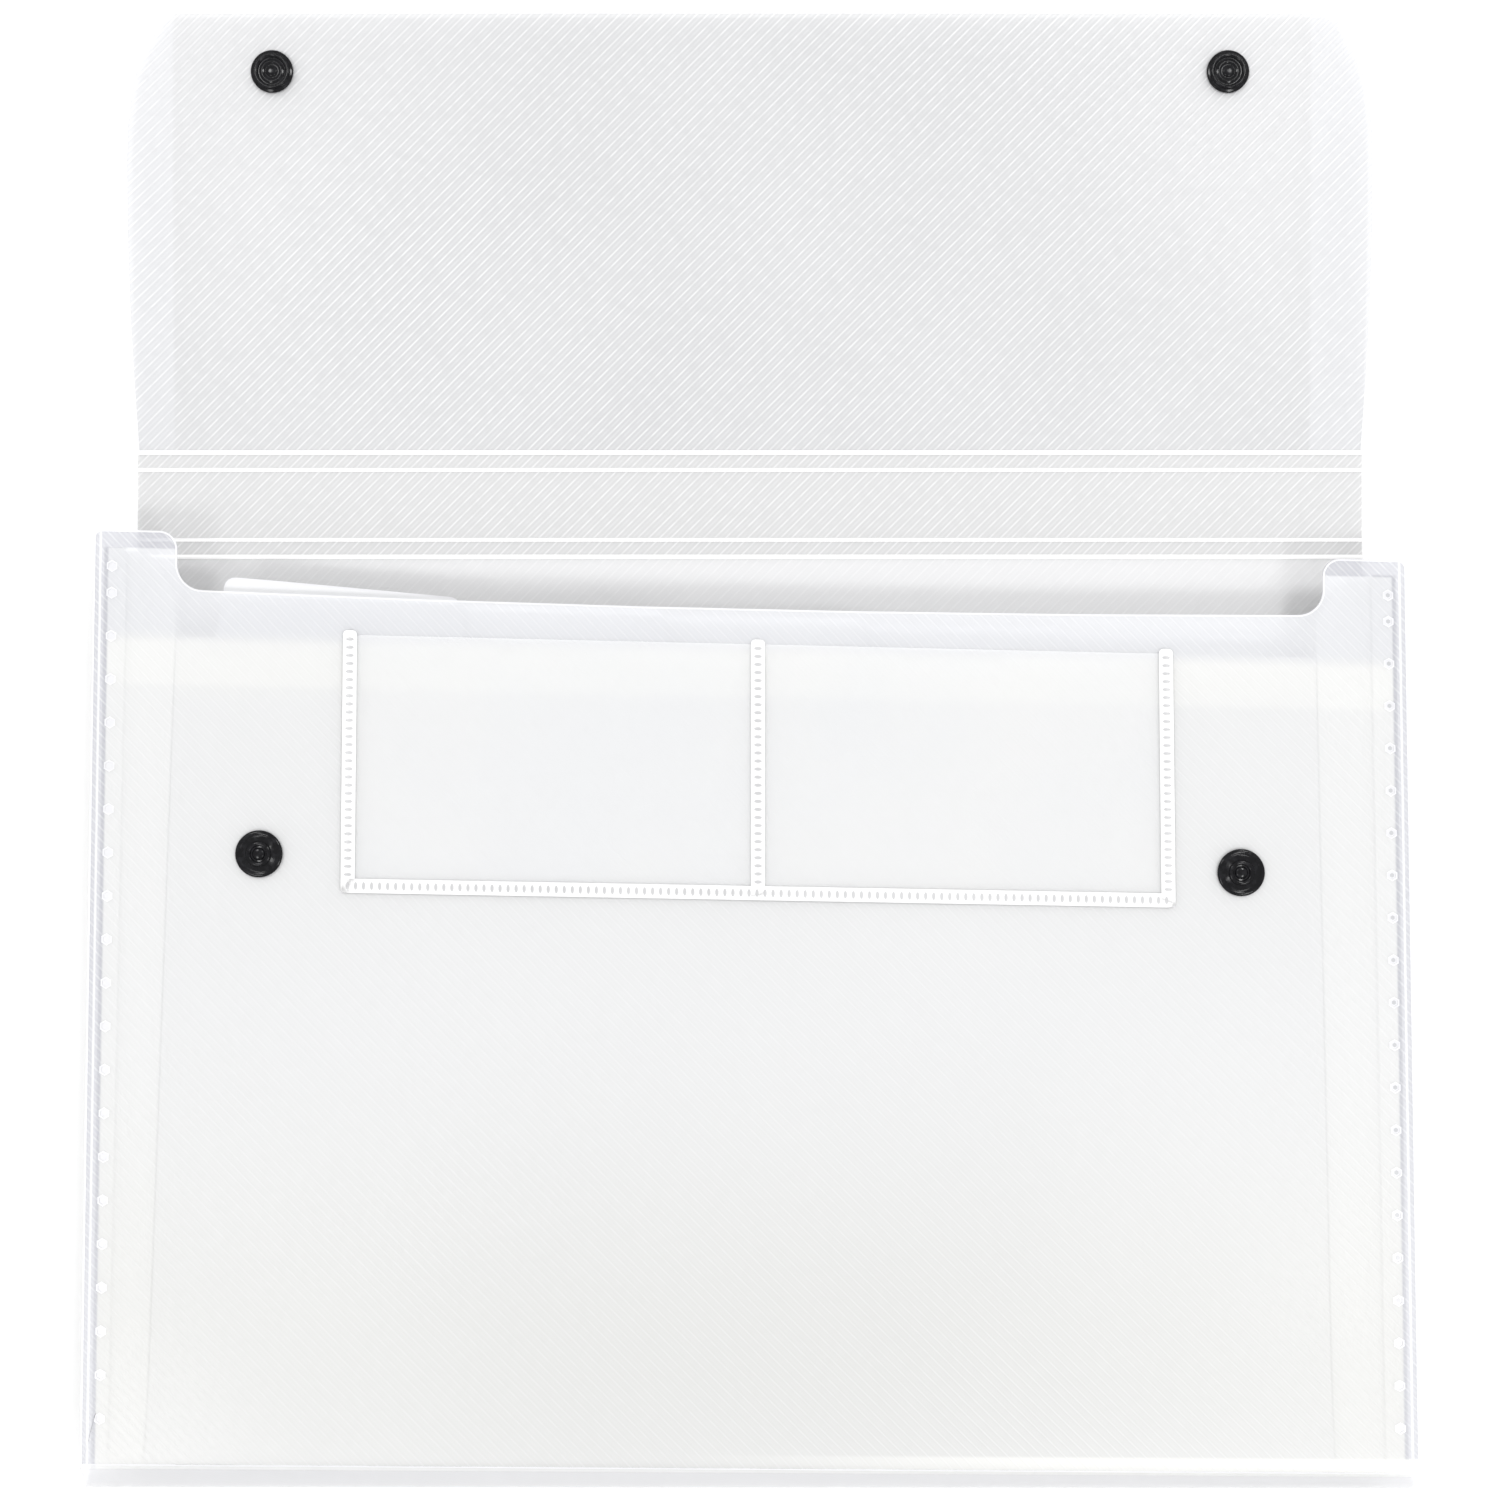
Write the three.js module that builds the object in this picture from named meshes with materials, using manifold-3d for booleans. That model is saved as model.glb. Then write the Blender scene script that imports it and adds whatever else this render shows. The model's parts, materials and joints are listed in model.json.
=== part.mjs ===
// Expanding file of translucent plastic sheet, lying on its back with the flap thrown open.
// Millimetres. +X runs across the file, +Y from the pockets towards the open flap, +Z up.
// The origin is on the surface that the file lies on, below the middle of the whole outline.
import * as THREE from 'three';
import { mergeVertices } from 'three/addons/utils/BufferGeometryUtils.js';
import Module from 'manifold-3d';

// Sheet stock
const COVER_SHEET = 0.6;
const DIVIDER_SHEET = 0.4;
const GUSSET_SHEET = 0.3;
const POCKET_FILM = 0.25;
const SEAT_GAP = 0.3;

// Cover: one sheet, folded along the bottom into back, bottom strip and front
const COVER_WIDTH = 330;
const FRONT_HEIGHT = 230;
const BACK_EXTRA_HEIGHT = 9;
const BOTTOM_THICKNESS = 19;
const MOUTH_THICKNESS = 16;
const FRONT_SLIDE = 10.4;
const BOTTOM_FOLD_RADIUS = 1.4;
const EAR_WIDTH = 21;
const EAR_OUTER_RADIUS = 2;
const EAR_INNER_RADIUS = 4.5;
const SCOOP_DEPTH = 14.4;
const SCOOP_CORNER_RADIUS = 6.5;
const SCOOP_SAG = 1.6;
const SHOULDER_DROP = 3.7;
const SHOULDER_LENGTH = 8;

// Spot welds that hold the gussets to the front and the back
const WELD_INSET = 4.7;
const WELD_PITCH = 10.65;
const WELD_RADIUS = 1;
const WELD_DEPTH = 0.15;
const WELD_TOP_MARGIN = 15.5;
const WELD_BOTTOM_MARGIN = 12;
const EAR_WELD_MARGIN = 8.9;

// Flap: a spacer strip between two scored hinge lines, then the flap itself
const HINGE_SETBACK = 7.5;
const SPACER_LENGTH = 26.8;
const HINGE_SLIT = 0.3;
const SCORE_OFFSET = 4.4;
const SCORE_WIDTH = 0.9;
const SCORE_DEPTH = 0.2;
const FLAP_LENGTH = 112.8;
const FLAP_BULGE = 2.5;
const FLAP_WIDEST_AT = 75;
const FLAP_END_SETBACK = 4;
const FLAP_CORNER_RADIUS = 7;

// Gussets: one pleated strip on each side
const DIVIDER_COUNT = 5;
const GUSSET_EDGE_INSET = 2.5;
const GUSSET_DEPTH = 21;
const GUSSET_FLANGE = 6.5;
const GUSSET_FOLD_RADIUS = 0.45;
const GUSSET_BOTTOM_MARGIN = 3;
const GUSSET_TOP_MARGIN = 3.5;
const GUSSET_CORNER_WIDTH = 8.5;
const GUSSET_CORNER_DROP = 10.5;

// Dividers
const DIVIDER_BELOW_FRONT = 26.7;
const DIVIDER_BOTTOM_MARGIN = 3;
const TAB_HEIGHT = 11.5;
const TAB_WIDTH = 61;
const TAB_PITCH = 51;
const TAB_RADIUS = 3;
const TAB_FLARE = 1.5;
const NOTCH_DEPTH = 2.8;
const NOTCH_WIDTH = 30;
const NOTCH_SLOPE = 3.2;

// Card pocket on the front, between the snaps
const CARD_POCKET_BESIDE_SNAP = 18.5;
const CARD_POCKET_HEIGHT = 63.5;
const CARD_POCKET_BELOW_FRONT = 24.8;
const CARD_POCKET_OFFSET = 2;
const CARD_POCKET_RISE = 0.5;
const CARD_WELD_WIDTH = 3;
const CARD_RAMP_WIDTH = 4;

// Press snaps
const SNAP_INSET = 42.5;
const SOCKET_FROM_HINGE = 97.4;
const SNAP_GAP = 0.2;
const SNAP_PIN_RADIUS = 1;
const SNAP_HOLE_CLEARANCE = 0.3;
const SNAP_CHAMFER = 0.3;
const CAP_RADIUS = 6;
const CAP_THICKNESS = 1.2;
const CAP_RIM = 0.5;
const SOCKET_RADIUS = 5.4;
const SOCKET_HEIGHT = 1.7;
const SOCKET_WEB = 0.5;
const SOCKET_STEP = 0.1;
const SOCKET_CAVITY_RADIUS = 3.5;
const STUD_RADIUS = 5.85;
const STUD_BASE = 0.7;
const STUD_RING_RADIUS = 3.1;
const STUD_RING_WALL = 1.1;
const STUD_RING_HEIGHT = 1.2;
const PIN_HEAD_RADIUS = 1.5;
const PIN_HEAD_HEIGHT = 0.4;
const PIN_HEAD_TOP_RADIUS = 1.05;
const SNAP_CLEARANCE = 0.3;

// Colours and finishes
const COVER_COLOUR = 0xeef0f2;
const GUSSET_COLOUR = 0xf6f5f1;
const DIVIDER_COLOUR = 0xe9ecf0;
const FILM_COLOUR = 0xf5f7f9;
const SNAP_COLOUR = 0x131315;

// Smoothness of round forms
const BEND_STEPS = 5;
const PLEAT_STEPS = 4;
const CORNER_STEPS = 5;
const SNAP_STEPS = 20;
const WELD_STEPS = 6;

// How far cutters and holes reach past what they cut
const CUTTER_MARGIN = 1;
const HOLE_REACH = 2;

const wasm = await Module();
wasm.setup();

// The outline is centred along Y on the origin
const BACK_HEIGHT = FRONT_HEIGHT + BACK_EXTRA_HEIGHT;
const BACK_BOTTOM_Y = -(BACK_HEIGHT + SPACER_LENGTH + FLAP_LENGTH) / 2;
const BACK_TOP_Y = BACK_BOTTOM_Y + BACK_HEIGHT;

// Derived widths and heights
const HINGE_WIDTH = COVER_WIDTH - 2 * HINGE_SETBACK;
const SNAP_SPACING = COVER_WIDTH - 2 * SNAP_INSET;
const CARD_POCKET_WIDTH = SNAP_SPACING - 2 * CARD_POCKET_BESIDE_SNAP;
const DIVIDER_HEIGHT = FRONT_HEIGHT - DIVIDER_BELOW_FRONT;
const CARD_POCKET_BOTTOM = FRONT_HEIGHT - CARD_POCKET_BELOW_FRONT - CARD_POCKET_HEIGHT;
const HOLE_RADIUS = SNAP_PIN_RADIUS + SNAP_HOLE_CLEARANCE;
const GUSSET_OUTER_TIP = COVER_WIDTH / 2 - GUSSET_EDGE_INSET;
const GUSSET_INNER_TIP = GUSSET_OUTER_TIP - GUSSET_DEPTH;

// Derived measures of the stack
const FRONT_BOTTOM_Y = BACK_BOTTOM_Y + FRONT_SLIDE;
const FRONT_SLOPE = (BOTTOM_THICKNESS - MOUTH_THICKNESS) / FRONT_HEIGHT;
const FRONT_TILT = Math.atan(FRONT_SLOPE);
const UPPER_HINGE_Y = BACK_TOP_Y + SPACER_LENGTH;

// The back's fold is round, so its sharp corner lies a little past the outermost edge
const STRIP_ANGLE = Math.atan2(BOTTOM_THICKNESS, FRONT_SLIDE);
const FOLD_SETBACK = BOTTOM_FOLD_RADIUS / Math.tan(STRIP_ANGLE / 2) - BOTTOM_FOLD_RADIUS;
const BACK_CORNER_Y = BACK_BOTTOM_Y + COVER_SHEET / 2 - FOLD_SETBACK;
const CAP_EDGE_FROM_HINGE = SOCKET_FROM_HINGE - (CAP_RADIUS - CAP_RIM);
const FLAP_REST_TILT = Math.asin((CAP_THICKNESS + SNAP_GAP) / CAP_EDGE_FROM_HINGE);

// Snap heights, counted from the sheet that carries each half
const SOCKET_TOP = SNAP_GAP + SOCKET_HEIGHT;
const STUD_TOP = SNAP_GAP + STUD_BASE;
const CLOSED_GAP = SOCKET_TOP + STUD_TOP + SNAP_CLEARANCE;

// The closed flap lies on the stack with its sockets over the studs. That sets how far
// below the mouth the studs sit: the spacer spans from the lower hinge to the flap's plane.
const MOUTH = new THREE.Vector2(
  FRONT_BOTTOM_Y + FRONT_HEIGHT * Math.cos(FRONT_TILT),
  BOTTOM_THICKNESS - FRONT_HEIGHT * Math.sin(FRONT_TILT)
);
const DOWN_FRONT = new THREE.Vector2(-Math.cos(FRONT_TILT), Math.sin(FRONT_TILT));
const OFF_FRONT = new THREE.Vector2(Math.sin(FRONT_TILT), Math.cos(FRONT_TILT));
const HINGE_TO_MOUTH = MOUTH.clone().sub(new THREE.Vector2(BACK_TOP_Y, COVER_SHEET));
const SPACER_RISE = HINGE_TO_MOUTH.dot(OFF_FRONT) + CLOSED_GAP;
const SPACER_RUN = Math.sqrt(SPACER_LENGTH ** 2 - SPACER_RISE ** 2);
const STUD_BELOW_MOUTH = SOCKET_FROM_HINGE - HINGE_TO_MOUTH.dot(DOWN_FRONT) - SPACER_RUN;

/** Turns a flat shape's plane so that its x, y and extrusion run along the given axes. */
function layAlong(geometry, across, up, out) {
  geometry.applyMatrix4(new THREE.Matrix4().makeBasis(across, up, out));
  return geometry;
}

const X_AXIS = new THREE.Vector3(1, 0, 0);
const Y_AXIS = new THREE.Vector3(0, 1, 0);
const Z_AXIS = new THREE.Vector3(0, 0, 1);

/** Extrudes a closed shape, with no bevel. */
function extrude(shape, depth, steps = CORNER_STEPS) {
  return new THREE.ExtrudeGeometry(shape, { depth, bevelEnabled: false, curveSegments: steps });
}

/** Gives the point set of a sheet of even thickness that follows an open centre line. */
function ribbonOutline(line, thickness) {
  const left = [];
  const right = [];
  line.forEach((point, i) => {
    const before = line[Math.max(i - 1, 0)];
    const after = line[Math.min(i + 1, line.length - 1)];
    const into = point.clone().sub(before).normalize();
    const onward = after.clone().sub(point).normalize();
    const along = into.clone().add(onward).normalize();
    const normal = new THREE.Vector2(-along.y, along.x);
    const straight = i === 0 ? onward : into;
    const stretch = 1 / Math.abs(along.dot(straight));
    const reach = (thickness / 2) * stretch;
    left.push(point.clone().addScaledVector(normal, reach));
    right.push(point.clone().addScaledVector(normal, -reach));
  });
  return { left, right };
}

/** Rounds the inner corners of an open line with arcs of one radius. */
function roundCorners(points, radius, steps) {
  const line = [points[0]];
  for (let i = 1; i < points.length - 1; i += 1) {
    const back = points[i - 1].clone().sub(points[i]).normalize();
    const onward = points[i + 1].clone().sub(points[i]).normalize();
    const half = Math.acos(THREE.MathUtils.clamp(back.dot(onward), -1, 1)) / 2;
    const reach = radius / Math.tan(half);
    const start = points[i].clone().addScaledVector(back, reach);
    const end = points[i].clone().addScaledVector(onward, reach);
    const middle = back.clone().add(onward).normalize();
    const centre = points[i].clone().addScaledVector(middle, radius / Math.sin(half));
    const from = start.clone().sub(centre);
    const sweep = from.clone().cross(end.clone().sub(centre)) > 0 ? 1 : -1;
    const turn = (Math.PI - 2 * half) * sweep;
    for (let k = 0; k <= steps; k += 1) {
      line.push(from.clone().rotateAround(new THREE.Vector2(), (turn * k) / steps).add(centre));
    }
  }
  line.push(points[points.length - 1]);
  return line;
}

/** Turns a three.js geometry into a solid for joining and cutting. */
function toSolid(geometry) {
  const bare = geometry.clone();
  bare.deleteAttribute('normal');
  bare.deleteAttribute('uv');
  const merged = mergeVertices(bare, 1e-4);
  const mesh = new wasm.Mesh({
    numProp: 3,
    vertProperties: new Float32Array(merged.attributes.position.array),
    triVerts: new Uint32Array(merged.index.array),
  });
  return new wasm.Manifold(mesh);
}

/** Turns a joined or cut solid back into a geometry. */
function toGeometry(solid) {
  const mesh = solid.getMesh();
  const geometry = new THREE.BufferGeometry();
  geometry.setAttribute('position', new THREE.BufferAttribute(mesh.vertProperties, 3));
  geometry.setIndex(new THREE.BufferAttribute(mesh.triVerts, 1));
  return geometry;
}

/** Cuts every cutter out of a geometry. */
function cut(geometry, cutters) {
  let solid = toSolid(geometry);
  for (const cutter of cutters) {
    solid = solid.subtract(toSolid(cutter));
  }
  return toGeometry(solid);
}

/** Places a geometry given by (x, distance up the front, height off it) on the front's outside. */
function ontoFront(geometry) {
  const up = new THREE.Vector3(0, Math.cos(FRONT_TILT), -Math.sin(FRONT_TILT));
  const out = new THREE.Vector3(0, Math.sin(FRONT_TILT), Math.cos(FRONT_TILT));
  const place = new THREE.Matrix4().makeBasis(X_AXIS, up, out);
  place.setPosition(0, FRONT_BOTTOM_Y, BOTTOM_THICKNESS);
  return geometry.applyMatrix4(place);
}

/** Lists the distances up the stack at which the gussets are spot welded, from the ears down. */
function weldRows() {
  const rows = [FRONT_HEIGHT - EAR_WELD_MARGIN];
  for (let v = FRONT_HEIGHT - WELD_TOP_MARGIN; v > WELD_BOTTOM_MARGIN; v -= WELD_PITCH) {
    rows.push(v);
  }
  return rows;
}

/** Makes a short upright cutter, sunk by a depth into the face at height zero. */
function dimple(x, y, radius, depth, steps) {
  const geometry = new THREE.CylinderGeometry(radius, radius, 2 * depth, steps);
  layAlong(geometry, X_AXIS, Z_AXIS, Y_AXIS.clone().negate());
  return geometry.translate(x, y, 0);
}

/** Outlines what is cut away above the front: scoop, ears and their corners. */
function aboveFront() {
  const side = COVER_WIDTH / 2;
  const top = FRONT_HEIGHT;
  const outer = EAR_OUTER_RADIUS;
  const inner = EAR_INNER_RADIUS;
  const bowl = SCOOP_CORNER_RADIUS;
  const floor = top - SCOOP_DEPTH;
  const ear = side - EAR_WIDTH;
  const valley = ear - bowl;
  const quarter = Math.PI / 2;
  const shape = new THREE.Shape();
  shape.moveTo(-side - CUTTER_MARGIN, top - outer);
  shape.lineTo(-side, top - outer);
  shape.absarc(-side + outer, top - outer, outer, 2 * quarter, quarter, true);
  shape.absarc(-ear - inner, top - inner, inner, quarter, 0, true);
  shape.absarc(-valley, floor + bowl, bowl, 2 * quarter, 3 * quarter, false);
  shape.quadraticCurveTo(0, floor - 2 * SCOOP_SAG, valley, floor);
  shape.absarc(valley, floor + bowl, bowl, 3 * quarter, 4 * quarter, false);
  shape.absarc(ear + inner, top - inner, inner, 2 * quarter, quarter, true);
  shape.absarc(side - outer, top - outer, outer, quarter, 0, true);
  shape.lineTo(side + CUTTER_MARGIN, top - outer);
  shape.lineTo(side + CUTTER_MARGIN, top + EAR_WIDTH);
  shape.lineTo(-side - CUTTER_MARGIN, top + EAR_WIDTH);
  shape.closePath();
  return shape;
}

/** Outlines one shoulder, where the back narrows to the flap's hinge. */
function besideHinge(side) {
  const outer = COVER_WIDTH / 2 + CUTTER_MARGIN;
  const start = BACK_TOP_Y - SHOULDER_DROP - SHOULDER_LENGTH;
  const shape = new THREE.Shape();
  shape.moveTo(side * outer, start);
  shape.lineTo(side * (COVER_WIDTH / 2), start);
  shape.lineTo(side * (HINGE_WIDTH / 2), BACK_TOP_Y - SHOULDER_DROP);
  shape.lineTo(side * (HINGE_WIDTH / 2), BACK_TOP_Y + CUTTER_MARGIN);
  shape.lineTo(side * outer, BACK_TOP_Y + CUTTER_MARGIN);
  shape.closePath();
  return shape;
}

/** Cover: back, bottom strip and front as one folded sheet, with ears, scoop and weld dents. */
function coverGeometry() {
  const half = COVER_SHEET / 2;
  const line = roundCorners(
    [
      new THREE.Vector2(BACK_TOP_Y - HINGE_SLIT / 2, half),
      new THREE.Vector2(BACK_CORNER_Y, half),
      new THREE.Vector2(FRONT_BOTTOM_Y + half, BOTTOM_THICKNESS - half),
      MOUTH.clone().addScaledVector(OFF_FRONT, -half),
    ],
    BOTTOM_FOLD_RADIUS,
    BEND_STEPS
  );
  const { left, right } = ribbonOutline(line, COVER_SHEET);
  const profile = new THREE.Shape([...left, ...right.reverse()]);
  const sheet = layAlong(extrude(profile, COVER_WIDTH), Y_AXIS, Z_AXIS, X_AXIS);
  sheet.translate(-COVER_WIDTH / 2, 0, 0);
  const cutterDepth = COVER_SHEET + 2 * CUTTER_MARGIN;
  const scoop = extrude(aboveFront(), cutterDepth);
  const cutters = [ontoFront(scoop.translate(0, 0, -COVER_SHEET - CUTTER_MARGIN))];
  for (const side of [-1, 1]) {
    cutters.push(extrude(besideHinge(side), cutterDepth).translate(0, 0, -CUTTER_MARGIN));
    const studUp = FRONT_HEIGHT - STUD_BELOW_MOUTH;
    const hole = dimple((side * SNAP_SPACING) / 2, studUp, HOLE_RADIUS, HOLE_REACH, SNAP_STEPS);
    cutters.push(ontoFront(hole));
    for (const v of weldRows()) {
      const x = side * (COVER_WIDTH / 2 - WELD_INSET);
      cutters.push(ontoFront(dimple(x, v, WELD_RADIUS, WELD_DEPTH, WELD_STEPS)));
      cutters.push(dimple(x, BACK_BOTTOM_Y + v, WELD_RADIUS, WELD_DEPTH, WELD_STEPS));
    }
  }
  return cut(sheet, cutters);
}

/** Spacer strip, with a scored groove beside each hinge line. */
function spacerGeometry() {
  const start = HINGE_SLIT / 2;
  const end = SPACER_LENGTH - HINGE_SLIT / 2;
  const top = COVER_SHEET;
  const profile = new THREE.Shape();
  profile.moveTo(start, 0);
  profile.lineTo(end, 0);
  profile.lineTo(end, top);
  for (const middle of [SPACER_LENGTH - SCORE_OFFSET, SCORE_OFFSET]) {
    profile.lineTo(middle + SCORE_WIDTH / 2, top);
    profile.lineTo(middle, top - SCORE_DEPTH);
    profile.lineTo(middle - SCORE_WIDTH / 2, top);
  }
  profile.lineTo(start, top);
  profile.closePath();
  const strip = layAlong(extrude(profile, HINGE_WIDTH), Y_AXIS, Z_AXIS, X_AXIS);
  return strip.translate(-HINGE_WIDTH / 2, 0, 0);
}

/** Flap outline, from the upper hinge line outwards. */
function flapShape() {
  const start = HINGE_WIDTH / 2;
  const widest = start + FLAP_BULGE;
  const end = start - FLAP_END_SETBACK;
  const corner = FLAP_CORNER_RADIUS;
  const lean = corner / 7;
  const foot = HINGE_SLIT / 2;
  const shape = new THREE.Shape();
  shape.moveTo(-start, foot);
  shape.lineTo(start, foot);
  shape.quadraticCurveTo(widest, FLAP_WIDEST_AT / 2, widest, FLAP_WIDEST_AT);
  shape.quadraticCurveTo(widest, FLAP_LENGTH - 2 * corner, end, FLAP_LENGTH - corner);
  shape.quadraticCurveTo(end - lean, FLAP_LENGTH, end - corner, FLAP_LENGTH);
  shape.lineTo(-end + corner, FLAP_LENGTH);
  shape.quadraticCurveTo(-end + lean, FLAP_LENGTH, -end, FLAP_LENGTH - corner);
  shape.quadraticCurveTo(-widest, FLAP_LENGTH - 2 * corner, -widest, FLAP_WIDEST_AT);
  shape.quadraticCurveTo(-widest, FLAP_WIDEST_AT / 2, -start, foot);
  return shape;
}

/** Flap sheet, with the holes that its snap pins pass through. Its top is at height zero. */
function flapGeometry() {
  const sheet = extrude(flapShape(), COVER_SHEET).translate(0, 0, -COVER_SHEET);
  const holes = [-1, 1].map((side) =>
    dimple((side * SNAP_SPACING) / 2, SOCKET_FROM_HINGE, HOLE_RADIUS, HOLE_REACH, SNAP_STEPS)
  );
  return cut(sheet, holes);
}

/** Height of the middle of each inner pleat fold at the bottom end, from the back upwards. */
function innerFoldLevels() {
  const low = COVER_SHEET + SEAT_GAP + GUSSET_SHEET / 2 + GUSSET_FOLD_RADIUS;
  const high = BOTTOM_THICKNESS - low;
  const pitch = (high - low) / DIVIDER_COUNT;
  return Array.from({ length: DIVIDER_COUNT }, (_, k) => low + pitch * (k + 0.5));
}

/** Centre line of the pleated strip across the file: x outwards, y up the stack. */
function gussetLine() {
  const levels = innerFoldLevels();
  const half = (levels[1] - levels[0]) / 2;
  const folds = [levels[0] - half];
  for (const level of levels) {
    folds.push(level);
    folds.push(level + half);
  }
  const bend = GUSSET_FOLD_RADIUS;
  const cutStart = GUSSET_INNER_TIP + GUSSET_CORNER_WIDTH;
  const line = [new THREE.Vector2(GUSSET_OUTER_TIP - GUSSET_FLANGE, folds[0] - bend)];
  folds.forEach((level, i) => {
    const outer = i % 2 === 0;
    const middle = outer ? GUSSET_OUTER_TIP - bend : GUSSET_INNER_TIP + bend;
    const centre = new THREE.Vector2(middle, level);
    const first = line[line.length - 1];
    const arc = [];
    for (let k = 0; k <= PLEAT_STEPS; k += 1) {
      const angle = -Math.PI / 2 + (Math.PI * k) / PLEAT_STEPS;
      const sideways = Math.cos(angle) * bend * (outer ? 1 : -1);
      arc.push(new THREE.Vector2(centre.x + sideways, centre.y + Math.sin(angle) * bend));
    }
    if (i > 0) {
      const share = (cutStart - first.x) / (arc[0].x - first.x);
      line.push(first.clone().lerp(arc[0], share));
    }
    line.push(...arc);
  });
  const last = folds[folds.length - 1] + bend;
  line.push(new THREE.Vector2(GUSSET_OUTER_TIP - GUSSET_FLANGE, last));
  return line;
}

/** Places a point of the stack: x across, height at the bottom end, distance up the file. */
function inStack(x, level, v) {
  const share = level / BOTTOM_THICKNESS;
  const height = share * (BOTTOM_THICKNESS - FRONT_SLOPE * v);
  return [x, BACK_BOTTOM_Y + FRONT_SLIDE * share + v, height];
}

/** Gusset: the pleated strip as one closed skin, its inner top corners cut aslant. */
function gussetGeometry(side) {
  const topAt = (x) => {
    const inward = Math.max(GUSSET_INNER_TIP + GUSSET_CORNER_WIDTH - x, 0) / GUSSET_CORNER_WIDTH;
    return FRONT_HEIGHT - GUSSET_TOP_MARGIN - GUSSET_CORNER_DROP * Math.min(inward, 1);
  };
  const line = gussetLine();
  const { left, right } = ribbonOutline(line, GUSSET_SHEET);
  const ring = [...left, ...right.reverse()];
  const tops = [...line, ...[...line].reverse()].map((point) => topAt(point.x));
  const count = ring.length;
  const positions = [];
  ring.forEach((point) => positions.push(...inStack(side * point.x, point.y, GUSSET_BOTTOM_MARGIN)));
  ring.forEach((point, i) => positions.push(...inStack(side * point.x, point.y, tops[i])));
  const faces = [];
  const addFace = (a, b, c) => faces.push(...(side > 0 ? [a, c, b] : [a, b, c]));
  for (let i = 0; i < count; i += 1) {
    const next = (i + 1) % count;
    addFace(i, next + count, next);
    addFace(i, i + count, next + count);
  }
  for (let i = 0; i < line.length - 1; i += 1) {
    const mate = count - 1 - i;
    addFace(i, i + 1, mate - 1);
    addFace(i, mate - 1, mate);
    addFace(i + count, mate - 1 + count, i + 1 + count);
    addFace(i + count, mate + count, mate - 1 + count);
  }
  const geometry = new THREE.BufferGeometry();
  geometry.setAttribute('position', new THREE.Float32BufferAttribute(positions, 3));
  geometry.setIndex(faces);
  return geometry;
}

/** Divider outline: a wide leaf with one tab, and shallow notches in front of the middle tabs. */
function dividerShape(tabMiddle) {
  const side = GUSSET_INNER_TIP - GUSSET_SHEET / 2 - SEAT_GAP;
  const top = DIVIDER_HEIGHT;
  const tabTop = DIVIDER_HEIGHT + TAB_HEIGHT;
  const shape = new THREE.Shape();
  shape.moveTo(-side, 0);
  shape.lineTo(side, 0);
  shape.lineTo(side, top);
  const steps = [-TAB_PITCH, 0, TAB_PITCH]
    .filter((middle) => Math.abs(middle - tabMiddle) > (TAB_WIDTH + NOTCH_WIDTH) / 2)
    .map((middle) => ({ middle, tab: false }));
  steps.push({ middle: tabMiddle, tab: true });
  steps.sort((a, b) => b.middle - a.middle);
  for (const { middle, tab } of steps) {
    if (tab) {
      const foot = middle + TAB_WIDTH / 2;
      const far = middle - TAB_WIDTH / 2;
      shape.lineTo(foot, top);
      shape.lineTo(foot - TAB_FLARE, tabTop - TAB_RADIUS);
      shape.quadraticCurveTo(foot - TAB_FLARE, tabTop, foot - TAB_FLARE - TAB_RADIUS, tabTop);
      shape.lineTo(far + TAB_FLARE + TAB_RADIUS, tabTop);
      shape.quadraticCurveTo(far + TAB_FLARE, tabTop, far + TAB_FLARE, tabTop - TAB_RADIUS);
      shape.lineTo(far, top);
    } else {
      shape.lineTo(middle + NOTCH_WIDTH / 2, top);
      shape.lineTo(middle + NOTCH_WIDTH / 2 - NOTCH_SLOPE, top - NOTCH_DEPTH);
      shape.lineTo(middle - NOTCH_WIDTH / 2 + NOTCH_SLOPE, top - NOTCH_DEPTH);
      shape.lineTo(middle - NOTCH_WIDTH / 2, top);
    }
  }
  shape.lineTo(-side, top);
  shape.closePath();
  return shape;
}

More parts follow.
